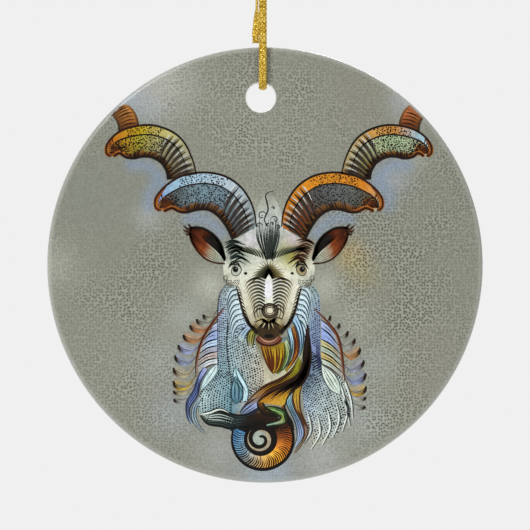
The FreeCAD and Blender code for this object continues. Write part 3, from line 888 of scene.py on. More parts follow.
# %% The fountain of hair on the nose bridge, and nested arcs beside it
for side in (-1, 1):
    brush = ["#1A1810", "#4A4A30", "#B4B69C"] if side < 0 else ["#2A2212", "#7A6C40", "#D4CFA8"]
    for row in range(9):
        lean = 0.15 + 0.17 * row
        start = np.array([AXIS - 0.06 - 0.05 * row, -1.5 - 0.1 * row])
        away = np.array([-math.sin(lean), math.cos(lean)])
        reach = 2.3 + 0.08 * row
        droop = np.array([0.0, -0.11 * row])
        hair = [start, start + away * reach * 0.5 + (0.1, 0.15), start + away * reach * 1.15 + droop * 2]
        lines.stroke(smooth(sided(hair, side), 18), 0.36, brush, 0.7, 0.05)
    for row in range(10):
        start = np.array([AXIS - 0.6 - 0.01 * row, -2.7 - 0.56 * row])
        wide = 3.5 - 0.18 * row
        hair = [start, start + (-wide * 0.4, 0.5), start + (-wide * 0.8, 0.05), start + (-wide, -0.95)]
        curve = smooth(sided(hair, side), 22)
        lines.stroke(curve, 0.3, ["#1E1E16", "#3A3626", "#6E6448", "#A89C74"], start=0.6, end=0.1)
        lines.stroke(curve - (0.0, 0.2), 0.12, ["#4A4A38", "#A4A48C"], start=0.6, end=0.1)
    for reach in (1.7, 2.15, 2.65):
        sweep_angles = np.radians(np.linspace(150, 245, 24))
        arc = around((AXIS + 0.15, -7.6), sweep_angles, reach, reach * 1.1)
        lines.stroke(sided(arc, side), 0.2, ["#8A8468", "#4A4028"], 0.1, 0.3)
    jaw = smooth(sided([(-4.8, -3.6), (-4.35, -5.3), (-3.75, -7.6), (-2.9, -9.6), (-1.2, -11.4)], side), 30)
    lines.stroke(jaw, 0.4, [INK_DARK, "#2A2418", INK_DARK], start=0.3, end=1.9)
    for row, edge in enumerate(jaw[:-4:2]):
        hair = [edge, edge + (-side * 0.35, -0.15), edge + (-side * 0.8, -0.7)]
        lines.stroke(smooth(hair, 8), 0.16 + 0.012 * row, "#2A281C", start=0.9, end=0.05)

# %% Eyes and cheeks
for side in (-1, 1):
    eye = spot(-4.95, -0.75, side)
    lean = 0.5 * side
    lid_tone, iris_tone = ("#BAC2B2", "#5A6258") if side < 0 else ("#A0946E", "#6A5A3E")
    socket = eye + (-side * 0.15, -0.15)
    lines.blot(socket, 0.86, 1.02, "#3A3A30", layer=3.6, turn=lean)
    lines.blot(socket, 0.72, 0.88, lid_tone, layer=3.8, turn=lean)
    lines.blot(eye + (0.0, 0.02), 0.5, 0.54, iris_tone, layer=4.0)
    lines.blot(eye + (0.0, 0.05), 0.42, 0.46, "#0A0908", layer=4.2)
    lines.dots([eye + (0.12, 0.2)], 0.07, "#D6D8D0", layer=4.4)
    for lift, width in ((0.95, 0.26), (1.25, 0.2), (1.55, 0.16)):
        lid = [eye + (-1.25, 0.2), eye + (-0.6, lift * 0.85), eye + (0.35, lift * 0.8), eye + (1.1, 0.0)]
        lines.stroke(smooth(lid, 20), width, "#222018", start=0.2, end=0.2)
    lines.blot(spot(-3.25, -1.4, side), 0.28, 0.24, INK_DARK, layer=4.5)
    cheek = spot(-5.4, -2.7, side)
    for reach in (1.05, 0.78, 0.5, 0.25):
        sweep_angles = np.linspace(math.pi * 0.95, math.pi * 2.05, max(4, int(reach * 14)))
        lines.dots(around(cheek, sweep_angles, reach), 0.1, "#1E221E")
    ear_loop = spot(-6.6, -2.2, side)
    loop_angles = np.linspace(0, 2 * math.pi, 26)
    for reach in (0.5, 0.26):
        lines.stroke(around(ear_loop, loop_angles, 0.7 * reach, reach), 0.1, "#5A5A4E", start=1.0, end=1.0)

# %% Nose, mouth and chin
NOSE = np.array([AXIS + 0.15, -7.65])
washes.blot((AXIS, -10.7), 2.75, 1.6, "#5E4E26", layer=3.28, corners=40)
washes.blot((AXIS, -11.2), 1.9, 1.3, "#3A2C18", layer=3.3, corners=40)
washes.blot((AXIS, -12.5), 2.2, 1.15, "#6A3420", layer=3.25, corners=40)
washes.blot(NOSE, 1.32, 1.2, "#6A5A48", layer=3.5)
washes.blot(NOSE, 0.95, 0.85, "#B0A48A", layer=3.6)
washes.blot(NOSE - (0.0, 0.1), 0.6, 0.55, "#D8D2B8", layer=3.7)
for reach, width in ((1.3, 0.3), (0.92, 0.18), (0.6, 0.14)):
    ring_angles = np.linspace(0.4, 2 * math.pi + 0.2, 30)
    lines.stroke(around(NOSE, ring_angles, reach, reach * 0.9), width, "#2E2418", start=0.8, end=0.8)
for lean in np.linspace(-1.9, 1.9, 23):
    start = np.array([AXIS, -9.5])
    heading = np.array([math.sin(lean), -math.cos(lean) * 0.7 + 0.05])
    reach = 2.5 if abs(lean) > 0.7 else 1.7
    hair = [start + heading * 0.15, start + heading * reach * 0.5 + (0, 0.3), start + heading * reach]
    hair[-1] = hair[-1] - (0, 0.25)
    tone = "#C4B888" if rng.random() < 0.55 else INK_DARK
    lines.stroke(smooth(hair, 14), 0.26, tone, start=0.7, end=0.1, layer=4.5)
    lines.stroke(smooth([point + (0.1, -0.12) for point in hair], 14), 0.14, INK_DARK, 0.8, 0.2)
lines.blot((AXIS, -11.9), 0.85, 0.32, "#0C0906", layer=4.8)
for reach, tone in ((2.0, "#8A5A44"), (1.6, "#B08A74"), (2.35, "#241208")):
    lip_angles = np.linspace(math.pi * 1.12, math.pi * 1.88, 20)
    lip = around((AXIS, -11.5), lip_angles, reach, reach * 0.85)
    lines.stroke(lip, 0.26, tone, start=0.3, end=0.3, layer=4.6)
washes.piece("head_wash", wash_ink)
lines.piece("head_lines", line_ink)

# %% Forelock and its curls
washes, lines = Ink(), Ink()
washes.wash(
    smooth([(-1.7, 5.0), (-1.7, 6.6), (-1.5, 8.6), (-0.9, 10.6), (0.3, 12.4)], 40),
    smooth([(3.0, 5.0), (3.0, 6.6), (2.8, 8.6), (2.0, 10.6), (1.0, 12.4)], 40),
    ["#C9CFC8", "#C4CCC6", "#B9C0B8", "#A9AC9E", "#96988B"], layer=2.55, across=10,
)
washes.piece("forelock_wash", wash_ink)
for lean in np.linspace(-0.5, 0.5, 15):
    start = np.array([AXIS + lean * 1.2, 0.9 + rng.uniform(-0.3, 0.3)])
    top = np.array([AXIS - 0.3 + lean * 3.6, rng.uniform(6.2, 8.2)])
    bend = (start + top) / 2 + (lean * 1.2, 0.3)
    lines.stroke(smooth([start, bend, top], 20), rng.uniform(0.14, 0.3), "#2E3630", 0.6, 0.05)
curls = [
    (-0.5, 8.3, 0.75, 1.7, 1), (1.6, 7.6, 0.65, 1.5, -1), (-1.0, 6.6, 0.55, 1.4, 1),
    (0.4, 6.7, 0.34, 1.3, 1), (1.2, 6.9, 0.3, 1.4, -1), (2.2, 6.3, 0.5, 1.3, -1),
    (1.4, 9.5, 0.32, 1.2, -1),
]
for u, v, size, turns, way in curls:
    swing = np.linspace(0.0, turns * math.pi, 26)
    reach = size * (1 - 0.55 * swing / swing[-1])
    lines.stroke(around((u, v), swing, way * reach, reach), 0.18, "#262A26", start=0.3, end=0.8)
    lines.dots([(u, v)], 0.11, INK_DARK)
tall_curl = [(0.5, 6.4), (-0.1, 7.6), (0.5, 9.2), (0.3, 10.6), (0.1, 11.6), (0.6, 12.2), (1.5, 12.3)]
lines.stroke(smooth(tall_curl, 40), 0.26, "#262A26", start=0.5, end=0.3)
dots_u = AXIS + rng.normal(0, 0.55, 70)
dots_v = rng.uniform(1.0, 5.8, 70)
lines.dots(np.stack([dots_u, dots_v], axis=1), rng.uniform(0.06, 0.1, 70), "#2E3630")
lines.piece("forelock_lines", line_ink)

# %% [markdown]
# ## Mane, beard and curl
#
# Below the head everything flows. Each lock is again a space between two lines, so one helper can
# fill it, run hairs along it and outline it, and a second one can run rows of dots along it. The
# dots make the wool of the neck: large and black in the middle, fine at the outer columns. Locks
# are laid from the back to the front: neck wool, side scallops, beard, the brown lock that crosses
# over, and last the ribbed curl at the bottom, a small echo of the horns.

# %% Locks and dotted wool


def lock(washes, lines, edge_a, edge_b, tones_a, tones_b=None, hairs=4, ink=INK_DARK,
         width=0.18, outline=0.3, layer=2.0):
    """A lock between two lines: a wash, hairs that run along it and an outline."""
    edge_a, edge_b = smooth(edge_a, 60), smooth(edge_b, 60)
    washes.wash(edge_a, edge_b, tones_a, tones_b, layer=layer)
    for over in np.linspace(0, 1, hairs + 2)[1:-1]:
        first, last = rng.uniform(0.0, 0.2), rng.uniform(0.75, 1.0)
        hair = between(edge_a, edge_b, np.linspace(first, last, 40), over + rng.uniform(-0.04, 0.04))
        lines.stroke(hair, width * rng.uniform(0.7, 1.3), ink, 0.2, 0.1, layer=layer + 0.3)
    if outline:
        for edge in (edge_a, edge_b):
            lines.stroke(edge, outline, ink, start=0.4, end=0.4, layer=layer + 0.4)


def wool(lines, edge_a, edge_b, rows, spacing, radius, first=0.0, last=1.0, layer=1.6):
    """Rows of dots that run along the space between two lines."""
    edge_a, edge_b = smooth(edge_a, 80), smooth(edge_b, 80)
    for row in range(rows):
        over = (row + 0.5) / rows
        line = between(edge_a, edge_b, np.linspace(first, last, 160), over)
        along = lengths_along(line)
        steps = np.arange(spacing * (0.3 + 0.5 * (row % 2)), along[-1], spacing)
        steps = steps + rng.normal(0, spacing * 0.1, len(steps))
        centres = np.stack([np.interp(steps, along, line[:, axis]) for axis in range(2)], axis=1)
        lines.dots(centres, radius * rng.uniform(0.65, 1.25, len(steps)), "#10181A", layer=layer)


# %% Neck wool
washes, lines = Ink(), Ink()
LEFT_OUTER = [
    (-6.5, -3.2), (-7.6, -4.9), (-8.0, -8.5), (-8.0, -14.5), (-8.0, -17.1), (-9.6, -19.6),
    (-11.1, -22.2), (-11.1, -24.8),
]
LEFT_MIDDLE = [
    (-4.7, -4.7), (-6.0, -6.8), (-6.2, -9.4), (-6.4, -13.6), (-6.0, -17.1), (-5.6, -19.6),
    (-5.6, -22.2), (-5.6, -25.2),
]
LEFT_INNER = [
    (-3.8, -5.1), (-3.8, -7.2), (-3.0, -10.2), (-1.7, -13.0), (-0.4, -16.6), (-0.2, -19.6),
    (-2.6, -22.2), (-3.8, -24.3),
]
RIGHT_OUTER = [
    (7.9, -3.2), (9.1, -4.9), (9.3, -8.5), (9.3, -14.9), (10.3, -17.9), (12.6, -18.8), (14.1, -21.8),
    (14.7, -25.2),
]
RIGHT_MIDDLE = [
    (6.0, -4.7), (6.6, -6.8), (7.5, -9.4), (7.9, -13.6), (7.9, -17.1), (8.5, -20.1), (9.6, -23.5),
    (11.8, -28.6),
]
RIGHT_INNER = [
    (5.1, -5.1), (5.3, -7.2), (6.0, -10.2), (6.5, -13.6), (6.6, -17.1), (6.3, -20.9), (6.6, -24.3),
    (7.9, -30.5),
]
LEFT_TONES = ["#B9C8C4", "#B4CBD0", "#A9C0D2", "#A5C0C8", "#98B8C0", "#86AAB2", "#7099A4", "#5E8894"]
RIGHT_TONES = ["#B4C4C0", "#A9C4CC", "#8CA4BC", "#7C8CB4", "#6E84A4", "#8CA0AC", "#B9CCCC", "#B9C0B8"]
lock(washes, lines, LEFT_OUTER, LEFT_MIDDLE,
     ["#93A3A4", "#9AA8AE", "#97A2C0", "#8CA3B4", "#86A6B2", "#A3BEC4", "#BFD6D6", "#A9C0C0"],
     LEFT_TONES, hairs=0, outline=0.16, layer=1.0)
lock(washes, lines, LEFT_MIDDLE, LEFT_INNER, LEFT_TONES,
     ["#C9D8D8", "#C4DCE6", "#B4CCE4", "#B9C4BE", "#C4BEA8", "#CBC2AE", "#B9B8B4", "#97A4A8"],
     hairs=0, outline=0.0, layer=1.05)
lock(washes, lines, RIGHT_OUTER, RIGHT_MIDDLE,
     ["#93A39C", "#8FA4A8", "#8E9EBC", "#7F8CB8", "#A9BCC0", "#C4D2CA", "#B4BFB4", "#A9AEA0"],
     RIGHT_TONES, hairs=0, outline=0.0, layer=1.0)
lock(washes, lines, RIGHT_MIDDLE, RIGHT_INNER, RIGHT_TONES,
     ["#C9D8DC", "#B9DCEC", "#A4CCE8", "#6E7484", "#4A505E", "#7C92A4", "#A9B9CC", "#B4AE96"],
     hairs=0, outline=0.0, layer=1.05)
wool(lines, LEFT_OUTER, LEFT_MIDDLE, 6, 0.38, 0.12, last=0.6)
wool(lines, LEFT_OUTER, LEFT_MIDDLE, 12, 0.42, 0.14, first=0.6)
lock(
    washes, lines, [(-1.7, -13.0), (-0.9, -15.6), (-0.6, -17.9), (-1.7, -20.5)],
    [(6.4, -11.5), (6.4, -14.5), (5.6, -16.2), (2.1, -19.6)],
    ["#7A7A58", "#9A967A", "#C4BEA4", "#C4C0A8"], ["#5E7C8A", "#8A9A7A", "#B4B890", "#C9C4AC"], hairs=3,
    ink="#6A6A50", outline=0.0, layer=1.02,
)
wool(lines, LEFT_MIDDLE, LEFT_INNER, 13, 0.42, 0.145, first=0.3, last=0.9)
wool(lines, LEFT_MIDDLE, LEFT_INNER, 5, 0.42, 0.11, first=0.0, last=0.3)
wool(lines, RIGHT_OUTER, RIGHT_MIDDLE, 5, 0.38, 0.115, last=0.42)
wool(lines, RIGHT_OUTER, RIGHT_MIDDLE, 11, 0.43, 0.145, first=0.46)
wool(lines, RIGHT_MIDDLE, RIGHT_INNER, 4, 0.38, 0.11, last=0.35)
wool(lines, RIGHT_MIDDLE, RIGHT_INNER, 9, 0.44, 0.13, first=0.62)
for side in (-1, 1):
    for row in range(8):
        height = -3.9 - 0.85 * row
        near = -4.3 + 0.05 * row + 0.012 * row**2
        flow = [
            (near, height), (near - 1.2, height - 0.4), (near - 1.9, height - 1.7),
            (near - 2.1, height - 3.4),
        ]
        line = smooth(sided(flow, side), 24)
        lines.stroke(line + (0.0, 0.32), 0.55, ["#D3E6EA", "#BCD4DE"], 0.4, 0.1, layer=1.85)
        lines.stroke(line, 0.2, "#2A4450", 0.6, 0.1, layer=1.9)
for column in np.linspace(0.08, 0.5, 5):
    flow = between(smooth(RIGHT_OUTER, 80), smooth(RIGHT_MIDDLE, 80), np.linspace(0.38, 0.66, 30), column)
    lines.stroke(flow, 0.14, "#2A3050", start=0.2, end=0.2, layer=1.8)

# %% Pale leaves and strands in the wool
lock(
    washes, lines, [(-5.0, -17.0), (-3.8, -18.8), (-2.8, -20.9), (-3.0, -22.6)],
    [(-5.0, -17.0), (-5.3, -18.8), (-3.8, -21.3), (-3.8, -23.0)], ["#B9DCE4", "#C9E6EC", "#B4D8E0"],
    hairs=1, ink="#38606C", outline=0.22, layer=2.0,
)
lock(
    washes, lines, [(-5.0, -18.6), (-3.8, -20.5), (-3.8, -22.2), (-4.7, -23.3)],
    [(-5.0, -18.6), (-5.6, -20.5), (-5.6, -22.2), (-4.9, -23.3)], ["#7CA4AC", "#6690A0", "#4E7888"],
    hairs=2, ink="#16303C", outline=0.22, layer=2.1,
)
lock(
    washes, lines, [(-8.0, -16.5), (-9.2, -17.5), (-10.3, -19.2), (-10.8, -20.9)],
    [(-8.0, -16.5), (-8.0, -17.9), (-9.2, -19.6), (-10.5, -20.9)], ["#DDEEEC", "#CFE6E6", "#B4CCD0"],
    hairs=1, ink="#5E7C80", outline=0.2, layer=2.0,
)
lock(
    washes, lines,
    [(-10.3, -17.1), (-11.2, -18.8), (-11.9, -20.9), (-13.1, -23.0), (-13.1, -25.2), (-12.4, -26.7)],
    [(-9.6, -17.5), (-10.8, -19.6), (-11.3, -21.8), (-12.5, -23.7), (-12.6, -25.4), (-12.1, -26.5)],
    ["#A9B4DC", "#7E8CCC", "#6E84C0", "#8CA4C4", "#9FB4BC"], hairs=2, ink="#26304E", layer=2.2,
)
lock(washes, lines, [(-11.1, -22.2), (-12.1, -23.7), (-12.3, -25.6), (-11.3, -27.3), (-10.0, -28.4)],
     [(-10.5, -22.2), (-11.4, -23.9), (-11.5, -25.6), (-10.8, -27.1), (-9.9, -28.3)],
     ["#9FB0B8", "#8CA4B4", "#A9B9BC", "#B4BCB8"], hairs=1, ink="#3E5058", outline=0.18, layer=2.0)
lock(
    washes, lines, [(9.4, -16.6), (9.7, -18.8), (10.9, -20.9), (12.6, -21.8)],
    [(9.4, -16.6), (11.3, -17.9), (12.4, -19.6), (12.7, -21.8)], ["#EDF2E6", "#DCEADC", "#BFD2C8"],
    hairs=3, ink="#4A5E58", outline=0.24, layer=2.0,
)
for start, middle, end in (
    ((12.6, -19.2), (13.7, -23.0), (14.4, -27.1)), ((13.2, -22.2), (14.1, -24.3), (13.1, -28.0)),
    ((12.2, -23.0), (12.6, -26.0), (11.5, -29.0)), ((10.7, -24.3), (11.1, -27.3), (9.8, -30.1)),
    ((9.0, -25.2), (9.4, -28.2), (7.9, -30.9)), ((7.3, -24.3), (7.9, -27.7), (6.6, -30.1)),
    ((13.0, -17.9), (14.5, -22.2), (14.9, -25.8)),
):
    lines.stroke(smooth([start, middle, end], 30), 0.24, "#3A4644", 0.2, 0.3, layer=2.0)
    pale = [(point[0] - 0.25, point[1]) for point in (start, middle, end)]
    lines.stroke(smooth(pale, 30), 0.3, "#DDE6DE", 0.1, 0.3, layer=1.95)
washes.piece("neck_wool_wash", wash_ink)
lines.piece("neck_wool_lines", line_ink)

# %% Side scallops and stripes
washes, lines = Ink(), Ink()
TIPS = {
    -1: [(-10.3, -8.3), (-12.3, -9.8), (-14.2, -12.7), (-15.2, -15.9), (-15.3, -19.8), (-15.2, -22.4)],
    1: [(10.9, -8.5), (13.6, -10.8), (15.6, -13.2), (16.7, -16.8), (16.9, -20.7), (16.7, -23.6)],
}
ENDS = {
    -1: [(-8.1, -7.6), (-8.7, -9.5), (-10.5, -12.4), (-11.5, -15.8), (-11.6, -18.8), (-11.9, -21.3)],
    1: [(10.0, -8.6), (11.6, -10.8), (12.7, -13.6), (13.2, -17.3), (13.3, -19.8), (13.5, -21.8)],
}
SCALLOP_INKS = {
    -1: ["#A8AC98", "#9A9C92", "#B0794A", "#C08A5A", "#9BA6CC", "#93A2C0", "#B9AE8E", "#C9A83C",
         "#B0A684", "#A4A8A4"],
    1: ["#9A9C90", "#A4A89C", "#A0A498", "#9C9E98", "#C08A4E", "#98A0B4", "#8C9CC8", "#C9A040",
        "#ABADA2", "#A2A69E"],
}
for side in (-1, 1):
    tips, ends = smooth(TIPS[side], 10), smooth(ENDS[side], 10)
    for step, (tip, end) in enumerate(zip(tips, ends)):
        dip = 1.15 + 0.09 * step if step < 8 else 1.0
        low_out = tip * 0.78 + end * 0.22 - (0, dip * 0.85)
        low_in = tip * 0.4 + end * 0.6 - (0, dip * 0.95)
        cup = smooth([tip, tip * 0.97 + end * 0.03 - (0, dip * 0.4), low_out, low_in, end], 40)
        arch = np.sin(np.linspace(0, math.pi, 40))
        raised = cup + np.stack([0.12 * (end - tip)[0] * arch, 1.65 * arch], axis=1)
        tone = SCALLOP_INKS[side][step]
        washes.wash(cup, raised, [tone, tone], ["#8E9084"], layer=1.2 + 0.05 * step)
        edge_tones = ["#14100C", "#2A1A10", tone, "#3A1C0A"]
        lines.stroke(cup, 0.5, edge_tones, 0.6, 0.15, layer=1.9)
        for share_in in (0.14, 0.3):
            gleam = cup * (1 - share_in) + raised * share_in
            lines.stroke(gleam[3:-5], 0.14, "#4A3A2A", 0.2, 0.1, layer=1.85)
    diagonal = smooth([(AXIS + side * 7.6, -7.2), *ENDS[side][1:5]], 50)
    lines.stroke(diagonal, 0.36, "#4A2412", start=0.3, end=0.3, layer=2.1)
    lines.stroke(diagonal + (side * -0.26, 0.1), 0.22, "#94583A", start=0.2, end=0.2, layer=2.05)
STRIPES = {
    -1: [
        ((-8.0, -9.6), (-9.2, -10.9)), ((-8.0, -10.9), (-10.3, -12.6)), ((-8.0, -12.4), (-10.9, -13.9)),
        ((-8.0, -13.5), (-11.2, -15.0)), ((-8.0, -14.5), (-11.3, -16.0)),
        ((-8.0, -15.6), (-11.3, -17.0)), ((-8.0, -16.5), (-11.1, -18.1)),
    ],
    1: [
        ((9.4, -9.2), (11.8, -11.7)), ((9.4, -10.5), (12.4, -13.6)), ((9.4, -12.4), (12.7, -15.0)),
        ((9.4, -13.5), (12.8, -16.0)), ((9.4, -14.5), (12.9, -17.1)), ((9.4, -15.6), (12.9, -18.0)),
        ((9.4, -16.5), (12.9, -19.0)),
    ],
}
STRIPE_INKS = {
    -1: ["#A9B4D0", "#9FB4E0", "#B4CDE4", "#A4A8B8", "#C4B8B4", "#D6E2E6"],
    1: ["#A9BCE4", "#93A8DC", "#C4BE8C", "#B4C4B0", "#CBB878", "#C9D8C4"],
}
for side in (-1, 1):
    for step in range(6):
        (from_a, to_a), (from_b, to_b) = STRIPES[side][step:step + 2]
        sag = np.array([0.0, 0.35])
        upper = [from_a, (np.array(from_a) + to_a) / 2 + sag, to_a]
        lower = [from_b, (np.array(from_b) + to_b) / 2 + sag, to_b]
        tone = STRIPE_INKS[side][step]
        lock(washes, lines, upper, lower, [tone, tone, "#9A9A92"], hairs=1, ink="#4A3A36",
             width=0.12, outline=0.26, layer=1.5)
washes.piece("scallops_wash", wash_ink)
lines.piece("scallops_lines", line_ink)

# %% Beard
washes, lines = Ink(), Ink()
lock(
    washes, lines, [(-0.7, -13.4), (-0.2, -15.1), (0.6, -17.1), (1.3, -18.2)],
    [(3.2, -13.0), (3.3, -15.1), (2.6, -17.3), (1.3, -18.2)],
    ["#7A4A1C", "#C99A1E", "#D8A414", "#B8A81E"], ["#8A7A20", "#C4A818", "#B4A41E", "#A9A81E"], hairs=7,
    ink="#5A2A0C", width=0.3, outline=0.36, layer=2.1,
)
lock(
    washes, lines, [(3.2, -13.0), (3.4, -15.1), (2.7, -17.3), (1.9, -18.2)],
    [(3.7, -12.4), (4.4, -14.5), (3.8, -16.6), (2.1, -18.3)], ["#9AA04A", "#A9B02A", "#98A81C"],
    ["#B9D0B4", "#A4C4B8", "#A8B83A"], hairs=2, ink="#3E4A14", width=0.2, layer=2.12,
)
lock(
    washes, lines, [(3.7, -10.8), (4.2, -12.8), (4.2, -15.1), (3.1, -17.5)],
    [(4.4, -10.5), (4.9, -13.0), (4.7, -15.4), (3.4, -17.6)],
    ["#9CCCE0", "#B9E0EC", "#A9D4D8", "#A4B86A"], hairs=1, ink="#2E4A54", layer=2.14,
)
lock(
    washes, lines, [(4.4, -10.5), (5.0, -13.0), (4.7, -15.4), (3.4, -17.7)],
    [(4.9, -10.2), (5.6, -12.8), (5.5, -15.1), (3.6, -17.9)],
    ["#8A6A3A", "#C97A24", "#D8861C", "#B8961E"], hairs=2, ink="#5A2A0C", layer=2.16,
)
lock(
    washes, lines, [(4.5, -9.2), (5.3, -10.7), (5.8, -13.0), (5.6, -15.1)],
    [(5.3, -8.3), (6.3, -10.7), (6.4, -13.0), (5.8, -15.4)],
    ["#A9D0EC", "#B4D8F0", "#A4CCE4", "#8CA8B4"], hairs=1, ink="#2E4454", layer=2.18,
)
lock(
    washes, lines, [(-1.7, -10.5), (-2.7, -11.3), (-3.0, -12.4), (-2.8, -13.6)],
    [(-1.3, -11.0), (-1.7, -11.7), (-1.9, -12.8), (-2.1, -13.9)],
    ["#7C7A34", "#A8A44A", "#8E8E4A", "#A9A896"], hairs=2, ink="#3A3A14", layer=2.1,
)
lock(
    washes, lines, [(-3.0, -10.2), (-4.1, -11.3), (-4.7, -12.4)],
    [(-2.3, -10.5), (-3.2, -11.7), (-3.6, -13.0)], ["#B4CCE8", "#A9C4D8", "#A4B4AC"], hairs=1,
    ink="#38505C", outline=0.18, layer=2.05,
)
washes.piece("beard_wash", wash_ink)
lines.piece("beard_lines", line_ink)

# %% The crossing brown lock
washes, lines = Ink(), Ink()
lock(
    washes, lines,
    [(7.1, -10.0), (6.5, -14.5), (6.3, -17.1), (4.9, -19.0), (2.6, -20.5), (0.2, -21.8), (-1.1, -23.0)],
    [(7.2, -10.0), (7.7, -14.9), (7.3, -17.9), (6.3, -19.8), (4.9, -20.9), (3.8, -22.2), (3.3, -23.7)],
    ["#241610", "#1C120C", "#3A1E0C", "#6A3410", "#9A5A14", "#B07018", "#C08A20"],
    ["#5A3A26", "#2A1A12", "#2E1A0E", "#7A4A14", "#B8861C", "#C49A2A", "#C4A040"], hairs=8,
    ink="#1C0E06", width=0.34, outline=0.4, layer=2.4,
)
lock(washes, lines, [(5.7, -15.4), (4.5, -17.5), (2.6, -19.0), (-0.0, -20.2), (-1.9, -21.8), (-3.6, -23.7)],
     [(6.4, -16.6), (5.3, -18.8), (3.2, -20.1), (1.1, -21.0), (-0.5, -22.2), (-1.3, -23.0)],
     ["#8A8A2A", "#A8B01E", "#C4A81C", "#B8841E", "#A4825A", "#8A8490"],
     ["#3A2A10", "#6A4A14", "#8A5412", "#A4661A", "#8A6440", "#7C7480"],
     hairs=4, ink="#3A1E08", width=0.26, outline=0.34, layer=2.35)
lock(
    washes, lines, [(-1.3, -22.2), (-2.6, -23.0), (-3.8, -24.1), (-4.2, -24.8)],
    [(-1.0, -23.9), (-1.7, -24.5), (-3.0, -25.2), (-3.8, -25.8)],
    ["#9AA4C4", "#8C9CC8", "#7C8CA8", "#5A6874"], hairs=2, ink="#202830", layer=2.3,
)
lock(
    washes, lines, [(-3.0, -25.4), (-1.7, -24.8), (-0.9, -24.1)],
    [(-2.8, -26.5), (-0.4, -26.0), (0.6, -25.5)], ["#5E6898", "#A4B0E4", "#8C98CC"], hairs=2,
    ink="#1C2030", outline=0.3, layer=2.5,
)
lock(
    washes, lines, [(-1.3, -23.0), (-1.0, -24.1), (0.2, -25.2), (2.1, -25.5)],
    [(-0.4, -23.0), (0.2, -24.0), (1.7, -24.8), (2.7, -25.3)],
    ["#6A4414", "#3A2008", "#1C1208", "#141008"], hairs=0, outline=0.4, layer=3.7,
)
lock(washes, lines, [(-0.2, -23.8), (1.5, -23.8), (3.1, -24.4), (3.5, -25.5), (3.1, -26.6), (0.4, -27.0)],
     [(0.4, -24.5), (1.5, -24.8), (2.3, -25.2), (2.6, -25.6), (2.1, -26.1), (0.2, -26.7)],
     ["#B4B43A", "#8CB86A", "#7CC08C", "#9AB86A", "#A8B87A", "#7CA894"],
     ["#8A9A3A", "#6EA45A", "#A4C04A", "#B8B83A", "#A9C09A", "#8CB4AC"],
     hairs=2, ink="#1E2A14", width=0.16, outline=0.42, layer=3.75)
lock(
    washes, lines,
    [(5.7, -19.6), (4.7, -21.8), (5.1, -24.1), (6.0, -25.6), (6.6, -27.5), (6.4, -29.2), (4.9, -31.4)],
    [(6.3, -19.8), (5.8, -21.8), (5.9, -24.1), (6.5, -25.8), (7.2, -27.5), (6.8, -29.2), (5.1, -31.5)],
    ["#8A6A1E", "#B8962A", "#C49A4A", "#A87A4A", "#A9988C", "#A8967A", "#A49C8A"], hairs=1,
    ink="#4A2A10", outline=0.3, layer=2.3,
)
lock(washes, lines, [(4.4, -20.9), (3.6, -22.8), (4.2, -24.5), (5.1, -26.5), (5.4, -28.6), (4.9, -30.5)],
     [(4.9, -20.7), (4.5, -22.6), (5.0, -24.3), (6.0, -26.3), (6.5, -28.4), (5.1, -30.7)],
     ["#C4B48A", "#8CC4D0", "#9CC8D8", "#9AACD4", "#93A8CC", "#A4B4BC"],
     hairs=2, ink="#2E3E48", outline=0.26, layer=2.25)
lock(
    washes, lines, [(3.2, -23.3), (3.6, -24.8), (4.5, -26.3), (4.9, -27.7)],
    [(2.5, -24.1), (3.4, -25.6), (3.8, -26.9), (2.6, -27.5)],
    ["#6A4414", "#241208", "#180C06", "#2A140A"], hairs=3, outline=0.4, layer=2.8,
)

# %% The dark sweep and the curl
lock(
    washes, lines,
    [(-10.9, -24.9), (-9.4, -24.6), (-7.5, -24.1), (-5.6, -25.0), (-3.4, -25.1), (-1.3, -24.0)],
    [(-10.9, -25.2), (-9.6, -26.6), (-7.3, -27.0), (-5.6, -27.4), (-2.8, -26.8), (0.7, -25.7)],
    ["#B4C0B4", "#7E9088", "#5A6E66", "#4E646A", "#2E3A34", "#6A5A34"],
    ["#4A5850", "#3A4A42", "#2E3E3A", "#22302E", "#1E1A12", "#3A200E"], hairs=6, ink="#0C100E",
    width=0.26, outline=0.42, layer=2.6,
)
lines.stroke(
    smooth([(-10.9, -25.0), (-9.4, -24.8), (-7.5, -24.2), (-6.0, -24.8)], 30), 0.3, "#DDE8DE", 0.3, 0.1,
    layer=3.1,
)
for drop in (0.45, 0.9, 1.4):
    gleam = [(-10.6, -25.1), (-9.4, -25.0 - drop * 0.6), (-7.5, -24.6 - drop), (-5.2, -25.4 - drop * 0.8)]
    lines.stroke(smooth(gleam, 30), 0.18, "#B9C9C0", 0.2, 0.1, layer=3.1)
wool(lines, [(-10.4, -25.3), (-7.5, -24.6), (-5.0, -25.6)], [(-9.8, -26.3), (-7.3, -26.8), (-4.4, -27.0)],
     5, 0.42, 0.11, layer=3.2)
lock(
    washes, lines, [(-6.4, -27.2), (-4.7, -27.3), (-2.8, -27.1)],
    [(-5.8, -27.7), (-4.3, -28.1), (-3.0, -27.7)], ["#2E5A78", "#5E98BC", "#3A6A84"], hairs=2,
    ink="#101C28", outline=0.3, layer=2.55,
)
CURL = np.array([-0.4, -29.1])


def arc_about(centre, reach, first, last, count=60):
    """Points on a circle from one angle in degrees to another."""
    return around(centre, np.radians(np.linspace(first, last, count)), reach)


